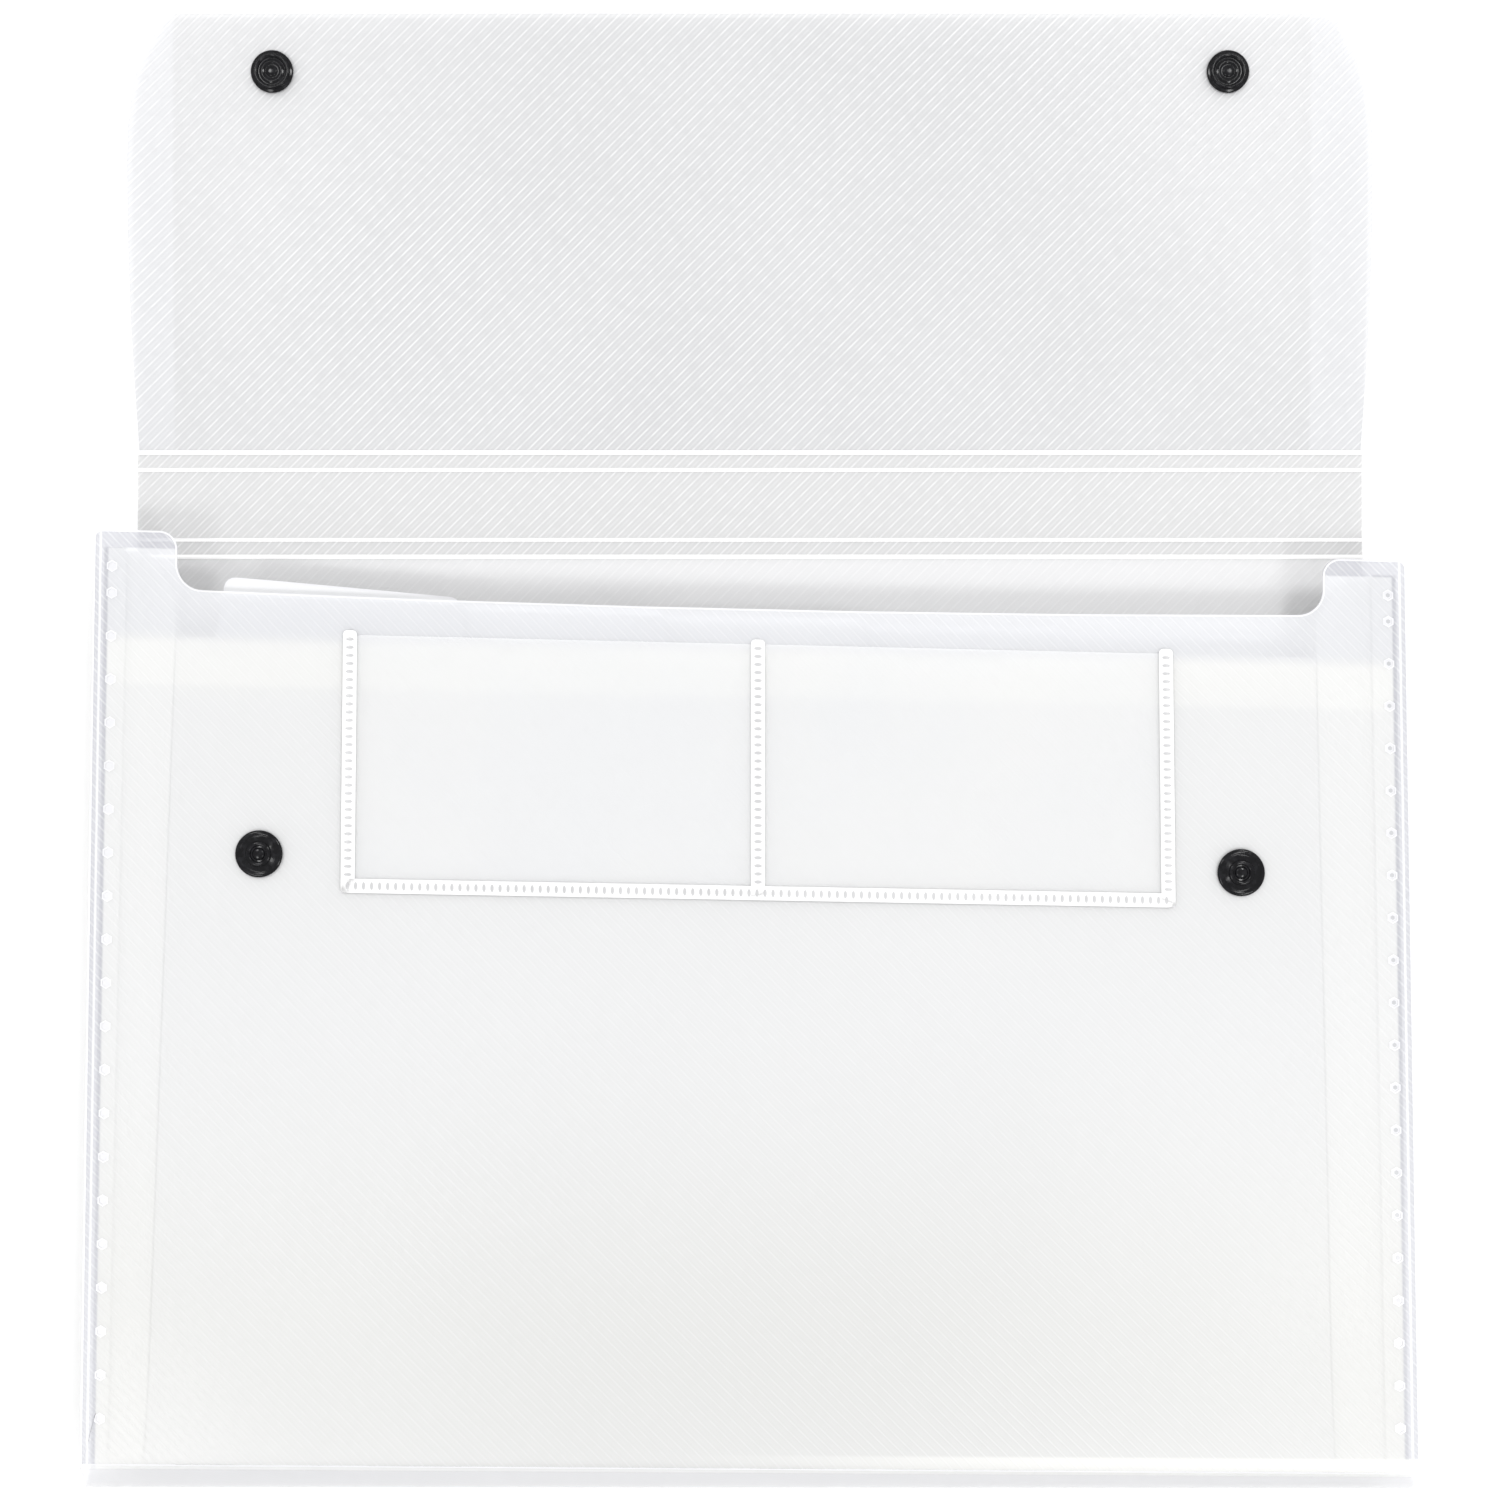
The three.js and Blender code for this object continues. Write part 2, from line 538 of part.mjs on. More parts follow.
/** Card pocket film: welded down at its sides, middle and bottom, and raised between. */
function cardPocketGeometry() {
  const half = CARD_POCKET_WIDTH / 2;
  const weld = CARD_WELD_WIDTH;
  const ramp = CARD_RAMP_WIDTH;
  const rightHalf = [
    { x: weld / 2, raised: false },
    { x: weld / 2 + ramp, raised: true },
    { x: half - weld - ramp, raised: true },
    { x: half - weld, raised: false },
    { x: half, raised: false },
  ];
  const leftHalf = rightHalf.map(({ x, raised }) => ({ x: -x, raised })).reverse();
  const stations = [...leftHalf, ...rightHalf];
  const ys = [0, weld, weld + ramp, CARD_POCKET_HEIGHT];
  const positions = [];
  for (const height of [SEAT_GAP, SEAT_GAP + POCKET_FILM]) {
    ys.forEach((y, j) => {
      stations.forEach(({ x, raised }) => {
        const lift = raised && j > 1 ? CARD_POCKET_RISE : 0;
        positions.push(x + CARD_POCKET_OFFSET, y + CARD_POCKET_BOTTOM, height + lift);
      });
    });
  }
  const columns = stations.length;
  const layer = columns * ys.length;
  const faces = [];
  const quad = (a, b, c, d) => faces.push(a, b, c, a, c, d);
  for (let j = 0; j < ys.length - 1; j += 1) {
    for (let i = 0; i < columns - 1; i += 1) {
      const a = j * columns + i;
      quad(a + layer, a + 1 + layer, a + 1 + columns + layer, a + columns + layer);
      quad(a, a + columns, a + 1 + columns, a + 1);
    }
  }
  const rim = [];
  for (let i = 0; i < columns - 1; i += 1) rim.push(i);
  for (let j = 0; j < ys.length - 1; j += 1) rim.push(j * columns + columns - 1);
  for (let i = columns - 1; i > 0; i -= 1) rim.push((ys.length - 1) * columns + i);
  for (let j = ys.length - 1; j > 0; j -= 1) rim.push(j * columns);
  rim.forEach((a, k) => {
    const b = rim[(k + 1) % rim.length];
    quad(a, b, b + layer, a + layer);
  });
  const geometry = new THREE.BufferGeometry();
  geometry.setAttribute('position', new THREE.Float32BufferAttribute(positions, 3));
  geometry.setIndex(faces);
  return ontoFront(geometry);
}

/** Revolves a profile of (radius, height) pairs about the upright axis. */
function revolve(profile) {
  const geometry = new THREE.LatheGeometry(profile.map(([r, z]) => new THREE.Vector2(r, z)), SNAP_STEPS);
  return layAlong(geometry, X_AXIS, Z_AXIS, Y_AXIS.clone().negate());
}

/** Cap behind the sheet, with the pin that passes through and its rolled head. */
function capGeometry(headSeat) {
  const under = -COVER_SHEET - SNAP_GAP;
  const bottom = under - CAP_THICKNESS;
  const seat = headSeat + SNAP_CLEARANCE / 2;
  return revolve([
    [0, bottom],
    [CAP_RADIUS - CAP_RIM, bottom],
    [CAP_RADIUS, bottom + CAP_RIM],
    [CAP_RADIUS, under],
    [SNAP_PIN_RADIUS, under],
    [SNAP_PIN_RADIUS, seat],
    [PIN_HEAD_RADIUS, seat],
    [PIN_HEAD_TOP_RADIUS, seat + PIN_HEAD_HEIGHT],
    [0, seat + PIN_HEAD_HEIGHT],
  ]);
}

/** Socket half: a ringed collar round a round well. */
function socketGeometry() {
  const web = SNAP_GAP + SOCKET_WEB;
  const collar = (SOCKET_RADIUS + SOCKET_CAVITY_RADIUS) / 2;
  return revolve([
    [HOLE_RADIUS, SNAP_GAP],
    [SOCKET_RADIUS, SNAP_GAP],
    [SOCKET_RADIUS, web],
    [collar, web + SOCKET_STEP],
    [collar, SOCKET_TOP - SNAP_CHAMFER],
    [collar - SNAP_CHAMFER, SOCKET_TOP],
    [SOCKET_CAVITY_RADIUS, SOCKET_TOP],
    [SOCKET_CAVITY_RADIUS, web],
    [HOLE_RADIUS, web],
    [HOLE_RADIUS, SNAP_GAP],
  ]);
}

/** Stud half: a flat base with the raised ring that presses into the socket. */
function studGeometry() {
  const ringInner = STUD_RING_RADIUS - STUD_RING_WALL;
  const ringTop = STUD_TOP + STUD_RING_HEIGHT;
  const web = SNAP_GAP + SOCKET_WEB;
  return revolve([
    [HOLE_RADIUS, SNAP_GAP],
    [STUD_RADIUS, SNAP_GAP],
    [STUD_RADIUS, STUD_TOP - SNAP_CHAMFER],
    [STUD_RADIUS - SNAP_CHAMFER, STUD_TOP],
    [STUD_RING_RADIUS, STUD_TOP],
    [STUD_RING_RADIUS, ringTop - SNAP_CHAMFER],
    [STUD_RING_RADIUS - SNAP_CHAMFER, ringTop],
    [ringInner, ringTop],
    [ringInner, web],
    [HOLE_RADIUS, web],
    [HOLE_RADIUS, SNAP_GAP],
  ]);
}

/** Makes a named mesh in one finish. */
function part(name, geometry, colour, roughness) {
  const material = new THREE.MeshStandardMaterial({ color: colour, roughness, metalness: 0 });
  const mesh = new THREE.Mesh(geometry, material);
  mesh.name = name;
  return mesh;
}

const file = new THREE.Group();
file.add(part('cover', coverGeometry(), COVER_COLOUR, 0.35));
file.add(part('gusset_left', gussetGeometry(-1), GUSSET_COLOUR, 0.4));
file.add(part('gusset_right', gussetGeometry(1), GUSSET_COLOUR, 0.4));

// Dividers lie at the inner folds. The front one carries the tab furthest left.
innerFoldLevels().forEach((level, k) => {
  const number = DIVIDER_COUNT - k;
  const tabMiddle = (number - (DIVIDER_COUNT + 1) / 2) * TAB_PITCH;
  const leaf = extrude(dividerShape(tabMiddle), DIVIDER_SHEET).translate(0, 0, -DIVIDER_SHEET / 2);
  const mesh = part(`divider_${number}`, leaf, DIVIDER_COLOUR, 0.4);
  mesh.position.set(...inStack(0, level, DIVIDER_BOTTOM_MARGIN));
  mesh.rotation.x = -Math.atan((FRONT_SLOPE * level) / BOTTOM_THICKNESS);
  file.add(mesh);
});

file.add(part('card_pocket', cardPocketGeometry(), FILM_COLOUR, 0.15));

const spacer = part('flap_spacer', spacerGeometry(), COVER_COLOUR, 0.35);
spacer.position.set(0, BACK_TOP_Y, 0);
file.add(spacer);

// The open flap slopes up slightly, because it lies on its snap caps
const flapGroup = new THREE.Group();
flapGroup.position.set(0, UPPER_HINGE_Y, COVER_SHEET);
flapGroup.rotation.x = FLAP_REST_TILT;
flapGroup.add(part('flap', flapGeometry(), COVER_COLOUR, 0.35));
file.add(flapGroup);

const frontGroup = new THREE.Group();
frontGroup.position.set(0, FRONT_BOTTOM_Y, BOTTOM_THICKNESS);
frontGroup.rotation.x = -FRONT_TILT;
file.add(frontGroup);

for (const [word, side] of [['left', -1], ['right', 1]]) {
  const x = (side * SNAP_SPACING) / 2;
  const socket = part(`snap_socket_${word}`, socketGeometry(), SNAP_COLOUR, 0.2);
  const flapCap = part(`flap_cap_${word}`, capGeometry(SNAP_GAP + SOCKET_WEB), SNAP_COLOUR, 0.2);
  const stud = part(`snap_stud_${word}`, studGeometry(), SNAP_COLOUR, 0.2);
  const frontCap = part(`front_cap_${word}`, capGeometry(SNAP_GAP + SOCKET_WEB), SNAP_COLOUR, 0.2);
  for (const mesh of [socket, flapCap]) {
    mesh.position.set(x, SOCKET_FROM_HINGE, 0);
    flapGroup.add(mesh);
  }
  for (const mesh of [stud, frontCap]) {
    mesh.position.set(x, FRONT_HEIGHT - STUD_BELOW_MOUTH, 0);
    frontGroup.add(mesh);
  }
}

export default file;
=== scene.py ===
"""Looks of a translucent plastic expanding file, lying on its back with the flap open."""

import json
import logging
import math
from collections.abc import Callable
from dataclasses import dataclass, field
from enum import Enum, IntEnum

import bmesh
import bpy
from mathutils import Matrix, Vector


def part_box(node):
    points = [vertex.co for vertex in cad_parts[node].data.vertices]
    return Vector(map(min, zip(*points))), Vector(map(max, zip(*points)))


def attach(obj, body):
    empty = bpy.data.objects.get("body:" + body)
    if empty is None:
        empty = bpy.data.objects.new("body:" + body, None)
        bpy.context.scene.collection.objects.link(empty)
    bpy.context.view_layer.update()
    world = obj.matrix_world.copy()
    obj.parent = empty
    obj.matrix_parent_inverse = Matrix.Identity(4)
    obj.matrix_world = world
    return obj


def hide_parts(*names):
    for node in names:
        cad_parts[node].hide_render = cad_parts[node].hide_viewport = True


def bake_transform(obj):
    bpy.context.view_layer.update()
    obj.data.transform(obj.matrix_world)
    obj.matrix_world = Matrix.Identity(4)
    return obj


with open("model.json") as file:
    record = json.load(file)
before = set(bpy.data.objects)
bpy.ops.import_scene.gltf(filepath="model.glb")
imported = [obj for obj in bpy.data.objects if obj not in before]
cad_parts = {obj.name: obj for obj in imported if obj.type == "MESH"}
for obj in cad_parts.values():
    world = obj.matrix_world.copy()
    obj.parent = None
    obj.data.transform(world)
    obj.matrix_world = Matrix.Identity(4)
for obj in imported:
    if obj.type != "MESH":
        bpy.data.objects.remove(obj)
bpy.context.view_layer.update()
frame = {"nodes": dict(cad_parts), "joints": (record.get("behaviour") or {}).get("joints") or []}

BOXES = {node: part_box(node) for node in frame["nodes"]}
JOINTS = {joint["name"]: joint for joint in frame["joints"]}
LOG = logging.getLogger("expanding_file")
MM = 0.001
UPWARD = 0.9  # a face is on a sheet's upper side if its normal's z is above this
Pair = tuple[float, float]
Colour = tuple[float, float, float]
Socket = bpy.types.NodeSocket
Material = bpy.types.Material
Piece = bpy.types.Object
Work = bmesh.types.BMesh


class Face(IntEnum):
    """Which of a piece's finishes a face has, where it isn't the first."""

    TRIM = 1
    EYE = 2


@dataclass(frozen=True)
class Tint:
    """A soft-edged stretch along one coordinate, where a sheet is paler or darker.

    Attributes:
        axis: The coordinate, 0 for x and 1 for y.
        low: Where the stretch starts, and high where it ends.
        soft: Half the width of its soft edges.
        fade_from: Where it has faded out, along the other coordinate.
        fade_to: Where it shows in full.
    """

    axis: int
    low: float
    high: float
    colour: Colour
    soft: float = 0.4 * MM
    strength: float = 1.0
    fade_from: float = 0.0
    fade_to: float = 0.0


class Graph:
    """A short way to write one material's nodes."""

    mix_inputs = (0, 6, 7)  # a colour Mix node's share, first and second colour
    mix_result = 2
    cloud_range = (0.15, 0.85)  # wide enough that a haze has no flat patches
    rough_spread = (-0.05, 0.07)

    def __init__(self, name: str) -> None:
        """Starts a material with an empty tree.

        Args:
            name: The material's name.
        """
        self.material = bpy.data.materials.new(name)
        self.material.use_nodes = True
        self.tree = self.material.node_tree
        self.tree.nodes.clear()
        self.output = self.tree.nodes.new("ShaderNodeOutputMaterial")
        self.shader = self.tree.nodes.new("ShaderNodeBsdfPrincipled")
        self.tree.links.new(self.shader.outputs["BSDF"], self.output.inputs["Surface"])

    def feed(self, socket: Socket, value: object) -> None:
        """Links or sets one input.

        Args:
            socket: The input to fill.
            value: A socket to link, or a number or colour to set.
        """
        if isinstance(value, Socket):
            self.tree.links.new(value, socket)
        elif isinstance(value, tuple) and len(value) == 3:
            socket.default_value = (*value, 1.0)
        else:
            socket.default_value = value

    def math(self, operation: str, *values: object) -> Socket:
        """Adds a Math node.

        Args:
            operation: The node's operation.
            values: Its inputs, in order.

        Returns:
            The node's result.
        """
        node = self.tree.nodes.new("ShaderNodeMath")
        node.operation = operation
        for socket, value in zip(node.inputs, values):
            self.feed(socket, value)
        return node.outputs[0]

    def coordinates(self, uv_name: str = "") -> tuple[Socket, ...]:
        """Gives the pattern's position on the piece.

        Args:
            uv_name: A UV map to read, or nothing for Object coordinates.

        Returns:
            The x, y and z sockets, and the whole vector.
        """
        if uv_name:
            source = self.tree.nodes.new("ShaderNodeUVMap")
            source.uv_map = uv_name
            vector = source.outputs["UV"]
        else:
            source = self.tree.nodes.new("ShaderNodeTexCoord")
            vector = source.outputs["Object"]
        split = self.tree.nodes.new("ShaderNodeSeparateXYZ")
        self.feed(split.inputs[0], vector)
        return split.outputs[0], split.outputs[1], split.outputs[2], vector

    def noise(self, vector: Socket, scale: float, detail: float) -> Socket:
        """Adds a Noise texture.

        Args:
            vector: Where the pattern is read.
            scale: Its scale, per metre.
            detail: Its octaves.

        Returns:
            The noise value.
        """
        node = self.tree.nodes.new("ShaderNodeTexNoise")
        self.feed(node.inputs["Vector"], vector)
        node.inputs["Scale"].default_value = scale
        node.inputs["Detail"].default_value = detail
        return node.outputs["Fac"]

    def ramp(self, value: object, low: float, high: float, start: float, end: float) -> Socket:
        """Maps a value smoothly from one range to another.

        Args:
            value: The value to map.
            low: Where the first range starts.
            high: Where the first range ends.
            start: What the result is at the start.
            end: What the result is at the end.

        Returns:
            The mapped value.
        """
        node = self.tree.nodes.new("ShaderNodeMapRange")
        node.interpolation_type = "SMOOTHSTEP"
        node.inputs["From Min"].default_value = low
        node.inputs["From Max"].default_value = high
        node.inputs["To Min"].default_value = start
        node.inputs["To Max"].default_value = end
        self.feed(node.inputs["Value"], value)
        return node.outputs["Result"]

    def mix(self, share: object, first: object, second: object) -> Socket:
        """Mixes two colours.

        Args:
            share: How much of the second colour shows.
            first: The first colour.
            second: The second colour.

        Returns:
            The mixed colour.
        """
        node = self.tree.nodes.new("ShaderNodeMix")
        node.data_type = "RGBA"
        for place, value in zip(self.mix_inputs, (share, first, second)):
            self.feed(node.inputs[place], value)
        return node.outputs[self.mix_result]

    def haze(self, cloud: Socket, first: Colour, second: Colour) -> Socket:
        """Lets one colour drift into another with a cloud pattern.

        Args:
            cloud: The pattern.
            first: The first colour.
            second: The second colour.

        Returns:
            The hazy colour.
        """
        return self.mix(self.ramp(cloud, *self.cloud_range, 0.0, 1.0), first, second)

    def tinted(
        self, places: tuple[Socket, ...], colour: object, tints: tuple[Tint, ...]
    ) -> object:
        """Lays tints over a colour.

        Args:
            places: The coordinates, x first.
            colour: The colour below.
            tints: The stretches to lay over it, the lowest first.

        Returns:
            The tinted colour.
        """
        for tint in tints:
            place, soft = places[tint.axis], tint.soft
            rise = self.ramp(place, tint.low - soft, tint.low + soft, 0.0, tint.strength)
            fall = self.ramp(place, tint.high - soft, tint.high + soft, 1.0, 0.0)
            share = self.math("MULTIPLY", rise, fall)
            if tint.fade_from != tint.fade_to:
                other = places[1 - tint.axis]
                along = self.ramp(other, tint.fade_from, tint.fade_to, 0.0, 1.0)
                share = self.math("MULTIPLY", share, along)
            colour = self.mix(share, colour, tint.colour)
        return colour

    def coat(self, colour: object, alpha: float, cloud: Socket, roughness: float) -> None:
        """Gives the shader its colour, its clearness and a slightly uneven roughness.

        Args:
            colour: The colour.
            alpha: How much of what lies below the sheet hides.
            cloud: The pattern that the roughness follows.
            roughness: The roughness about which it wanders.
        """
        self.feed(self.shader.inputs["Base Color"], colour)
        self.shader.inputs["Alpha"].default_value = alpha
        less, more = (roughness + change for change in self.rough_spread)
        rough = self.ramp(cloud, *self.cloud_range, less, more)
        self.feed(self.shader.inputs["Roughness"], rough)

    def bump(self, height: object, strength: float, distance: float) -> None:
        """Gives the shader a bump.

        Args:
            height: The height pattern.
            strength: How strongly it shows.
            distance: Its depth in metres.
        """
        node = self.tree.nodes.new("ShaderNodeBump")
        node.inputs["Strength"].default_value = strength
        node.inputs["Distance"].default_value = distance
        self.feed(node.inputs["Height"], height)
        self.feed(self.shader.inputs["Normal"], node.outputs["Normal"])


@dataclass(frozen=True)
class EmbossedSheet:
    """Frosted plastic sheet with fine embossed lines at 45 degrees.

    Attributes:
        alpha: How much of what lies below the sheet hides.
        pitch: The distance between two embossed lines.
        line_share: A line's share of the pitch.
        between_share: The share of the pitch that a faint line between two takes, each side.
        between: How strongly the faint line shows.
        plain_below: The place up the sheet below which the lines show less.
        plain_strength: How strongly they show there.
        break_scale: How finely the lines break up.
        break_range: The noise values between which a broken line becomes whole.
        break_floor: How much of a line is left where it breaks.
    """

    name: str
    ground: Colour
    pale: Colour
    line: Colour
    alpha: float
    uv_name: str = ""
    tints: tuple[Tint, ...] = ()
    pitch: float = 2.0 * MM
    line_share: float = 0.36
    between_share: float = 0.22
    between: float = 0.32
    line_strength: float = 0.88
    plain_below: float = -1.0
    plain_strength: float = 0.33
    roughness: float = 0.32
    cloud_scale: float = 11
    break_scale: float = 420
    break_range: Pair = (0.25, 0.65)
    break_floor: float = 0.6
    relief: float = 0.05 * MM
    relief_strength: float = 0.5

    def build(self) -> Material:
        """Makes the material.

        Returns:
            The finished material.
        """
        graph = Graph(self.name)
        x, y, z, vector = graph.coordinates(self.uv_name)
        cloud = graph.noise(vector, self.cloud_scale, 1)
        across = graph.math("SUBTRACT", x, y)
        turns = graph.math("MULTIPLY", across, 1 / (self.pitch * math.sqrt(2)))
        phase = graph.math("FRACT", turns)
        ridge = graph.math("ABSOLUTE", graph.math("SUBTRACT", phase, 0.5))
        crest = graph.ramp(ridge, 0.0, self.line_share / 2, 1.0, 0.0)
        between = graph.ramp(ridge, 0.5 - self.between_share, 0.5, 0.0, self.between)
        lines = graph.math("ADD", crest, between)
        grain = graph.noise(vector, self.break_scale, 0)
        broken = graph.ramp(grain, *self.break_range, self.break_floor, 1.0)
        shown = graph.math("MULTIPLY", lines, broken)
        edge = self.plain_below
        strength = graph.ramp(y, edge - MM, edge + MM, self.plain_strength, self.line_strength)
        ground = graph.haze(cloud, self.ground, self.pale)
        ground = graph.tinted((x, y, z), ground, self.tints)
        colour = graph.mix(graph.math("MULTIPLY", shown, strength), ground, self.line)
        graph.coat(colour, self.alpha, cloud, self.roughness)
        graph.bump(crest, self.relief_strength, self.relief)
        return graph.material


@dataclass(frozen=True)
class PlainSheet:
    """Smooth translucent sheet or film with a faint haze."""

    name: str
    colour: Colour
    haze: Colour
    alpha: float
    roughness: float = 0.35
    ripple: float = 0.05 * MM
    tints: tuple[Tint, ...] = ()
    cloud_scale: float = 26
    ripple_strength: float = 0.4

    def build(self) -> Material:
        """Makes the material.

        Returns:
            The finished material.
        """
        graph = Graph(self.name)
        x, y, z, vector = graph.coordinates()
        cloud = graph.noise(vector, self.cloud_scale, 1)
        colour = graph.haze(cloud, self.colour, self.haze)
        colour = graph.tinted((x, y, z), colour, self.tints)
        graph.coat(colour, self.alpha, cloud, self.roughness)
        graph.bump(cloud, self.ripple_strength, self.ripple)
        return graph.material


@dataclass(frozen=True)
class MouldedBlack:
    """Glossy black moulded plastic with a fine uneven skin."""

    name: str = "moulded_black"
    colour: Colour = (0.004, 0.004, 0.005)
    worn: Colour = (0.010, 0.010, 0.012)
    worn_range: Pair = (0.4, 0.75)
    shine: float = 0.2
    rough_range: Pair = (0.3, 0.7)
    roughness: Pair = (0.08, 0.22)
    skin_scale: float = 800
    skin_depth: float = 0.03 * MM
    skin_strength: float = 0.2

    def build(self) -> Material:
        """Makes the material.

        Returns:
            The finished material.
        """
        graph = Graph(self.name)
        _, _, _, vector = graph.coordinates()
        skin = graph.noise(vector, self.skin_scale, 2)
        share = graph.ramp(skin, *self.worn_range, 0.0, 1.0)
        graph.feed(graph.shader.inputs["Base Color"], graph.mix(share, self.colour, self.worn))
        rough = graph.ramp(skin, *self.rough_range, *self.roughness)
        graph.feed(graph.shader.inputs["Roughness"], rough)
        graph.shader.inputs["Specular IOR Level"].default_value = self.shine
        graph.bump(skin, self.skin_strength, self.skin_depth)
        return graph.material


@dataclass(frozen=True)
class PaleFloor:
    """Plain pale floor without shine."""

    name: str = "pale_floor"
    colour: Colour = (0.95, 0.95, 0.95)
    shade: Colour = (0.94, 0.94, 0.94)
    cloud_scale: float = 3
    roughness: float = 0.9

    def build(self) -> Material:
        """Makes the material.

        Returns:
            The finished material.
        """
        graph = Graph(self.name)
        _, _, _, vector = graph.coordinates()
        cloud = graph.noise(vector, self.cloud_scale, 0)
        colour = graph.mix(cloud, self.colour, self.shade)
        graph.feed(graph.shader.inputs["Base Color"], colour)
        graph.shader.inputs["Roughness"].default_value = self.roughness
        graph.shader.inputs["Specular IOR Level"].default_value = 0.0
        return graph.material


@dataclass
class StackForm:
    """Where the front lies, how the one sheet unfolds, and how the stack has settled.

    Attributes:
        slide: How far the front has slid up over the back.
        mouth_drop: How much thinner the stack is at the mouth.
        skin: The depth below an outside within which a point is part of that panel.
        bottom_turn: How far the front's bottom fold has turned on the back.
        mouth_turn: How far the front's mouth edge has turned.
        bottom_widening: By what share the front is wider at its bottom fold.
        mouth_narrowing: By what share it is narrower at its mouth.
        swell: How far the front's middle bulges.
        ripple: The share of that bulge by which it varies.
        ripple_turns: How fast it varies across and up the front, in radians per metre.
        swell_from: The share of the stack's height above which it bulges.
        foot_spread: By what share the back's foot is wider.
        foot_reach: The share of the front's height over which that fades.
        past_top: The share of the stack's height to which a point is followed.
        past_mouth: The share of the front's height to which a point is followed.
    """

    front_width: float = 330 * MM
    front_height: float = 230 * MM
    slide: float = 10.4 * MM
    mouth_drop: float = 3 * MM
    skin: float = 1.3 * MM
    bottom_turn: float = math.radians(0.34)
    mouth_turn: float = math.radians(1.3)
    bottom_widening: float = 0.006
    mouth_narrowing: float = 0.009
    swell: float = 0.3 * MM
    ripple: float = 0.3
    ripple_turns: Pair = (21, 9)
    swell_from: float = 0.8
    foot_spread: float = 0.035
    foot_reach: float = 0.12
    past_top: float = 1.2
    past_mouth: float = 1.05
    low: Vector = field(default_factory=lambda: BOXES["cover"][0])
    thickness: float = 19 * MM

    @property
    def foot(self) -> Vector:
        """The middle of the front's bottom fold, on its outside."""
        return Vector((0, self.low.y + self.slide, self.thickness))

    @property
    def tilt(self) -> float:
        """How far the front slopes down towards the mouth, as an angle."""
        return -math.atan(self.mouth_drop / self.front_height)

    @property
    def strip(self) -> float:
        """Width of the bottom strip between its two folds."""
        return math.hypot(self.thickness, self.slide)

    @property
    def front_fold(self) -> float:
        """Where the front starts on the unfolded sheet."""
        return self.low.y - self.strip

    def on_front(self) -> Matrix:
        """Gives the front's own frame: across, up the front, and off it."""
        return Matrix.Translation(self.foot) @ Matrix.Rotation(self.tilt, 4, "X")

    def front_top(self, point: Vector) -> float:
        """Finds how high the front's outside is at a point.

        Args:
            point: The point.

        Returns:
            The height.
        """
        return self.thickness + (point.y - self.foot.y) * math.tan(self.tilt)

    def unfold(self, point: Vector) -> Pair:
        """Finds where a point of the cover lies on the flat sheet.

        Args:
            point: The point, before the stack has settled.

        Returns:
            The place across and along the sheet.
        """
        if point.z < self.skin:
            return point.x, point.y
        if point.z > self.front_top(point) - self.skin:
            return point.x, self.front_fold - (point.y - self.foot.y) / math.cos(self.tilt)
        return point.x, self.low.y - self.strip * point.z / self.thickness

    def level(self, point: Vector) -> Pair:
        """Finds where a point lies in the stack.

        Args:
            point: A point of the stack.

        Returns:
            Its share of the stack's height, and of the way up from the bottom fold.
        """
        up = min(max((point.y - self.low.y) / self.front_height, 0.0), self.past_mouth)
        thick = self.thickness - self.mouth_drop * up
        return min(max(point.z / thick, 0.0), self.past_top), up

    def settle(self, point: Vector) -> Vector:
        """Moves a point of the stack to where it has slipped, spread and swollen.

        Args:
            point: The point at its place in the frame.

        Returns:
            The point's new place.
        """
        level, up = self.level(point)
        turn = self.bottom_turn + (self.mouth_turn - self.bottom_turn) * up
        spread = self.bottom_widening - (self.bottom_widening + self.mouth_narrowing) * up
        spread *= level
        spread += self.foot_spread * (1 - min(level, 1.0)) * max(1 - up / self.foot_reach, 0.0)
        across = math.cos(math.pi * min(abs(point.x) / self.front_width, 0.5))
        lift = self.swell * across * math.sin(math.pi * min(up, 1.0))
        turns_x, turns_y = self.ripple_turns
        lift *= 1 + self.ripple * math.sin(point.x * turns_x + point.y * turns_y)
        lift *= min(max((level - self.swell_from) / (1 - self.swell_from), 0.0), 1.0)
        drop = point.x * math.tan(turn) * level
        return Vector((point.x * (1 + spread), point.y - drop, point.z + lift))


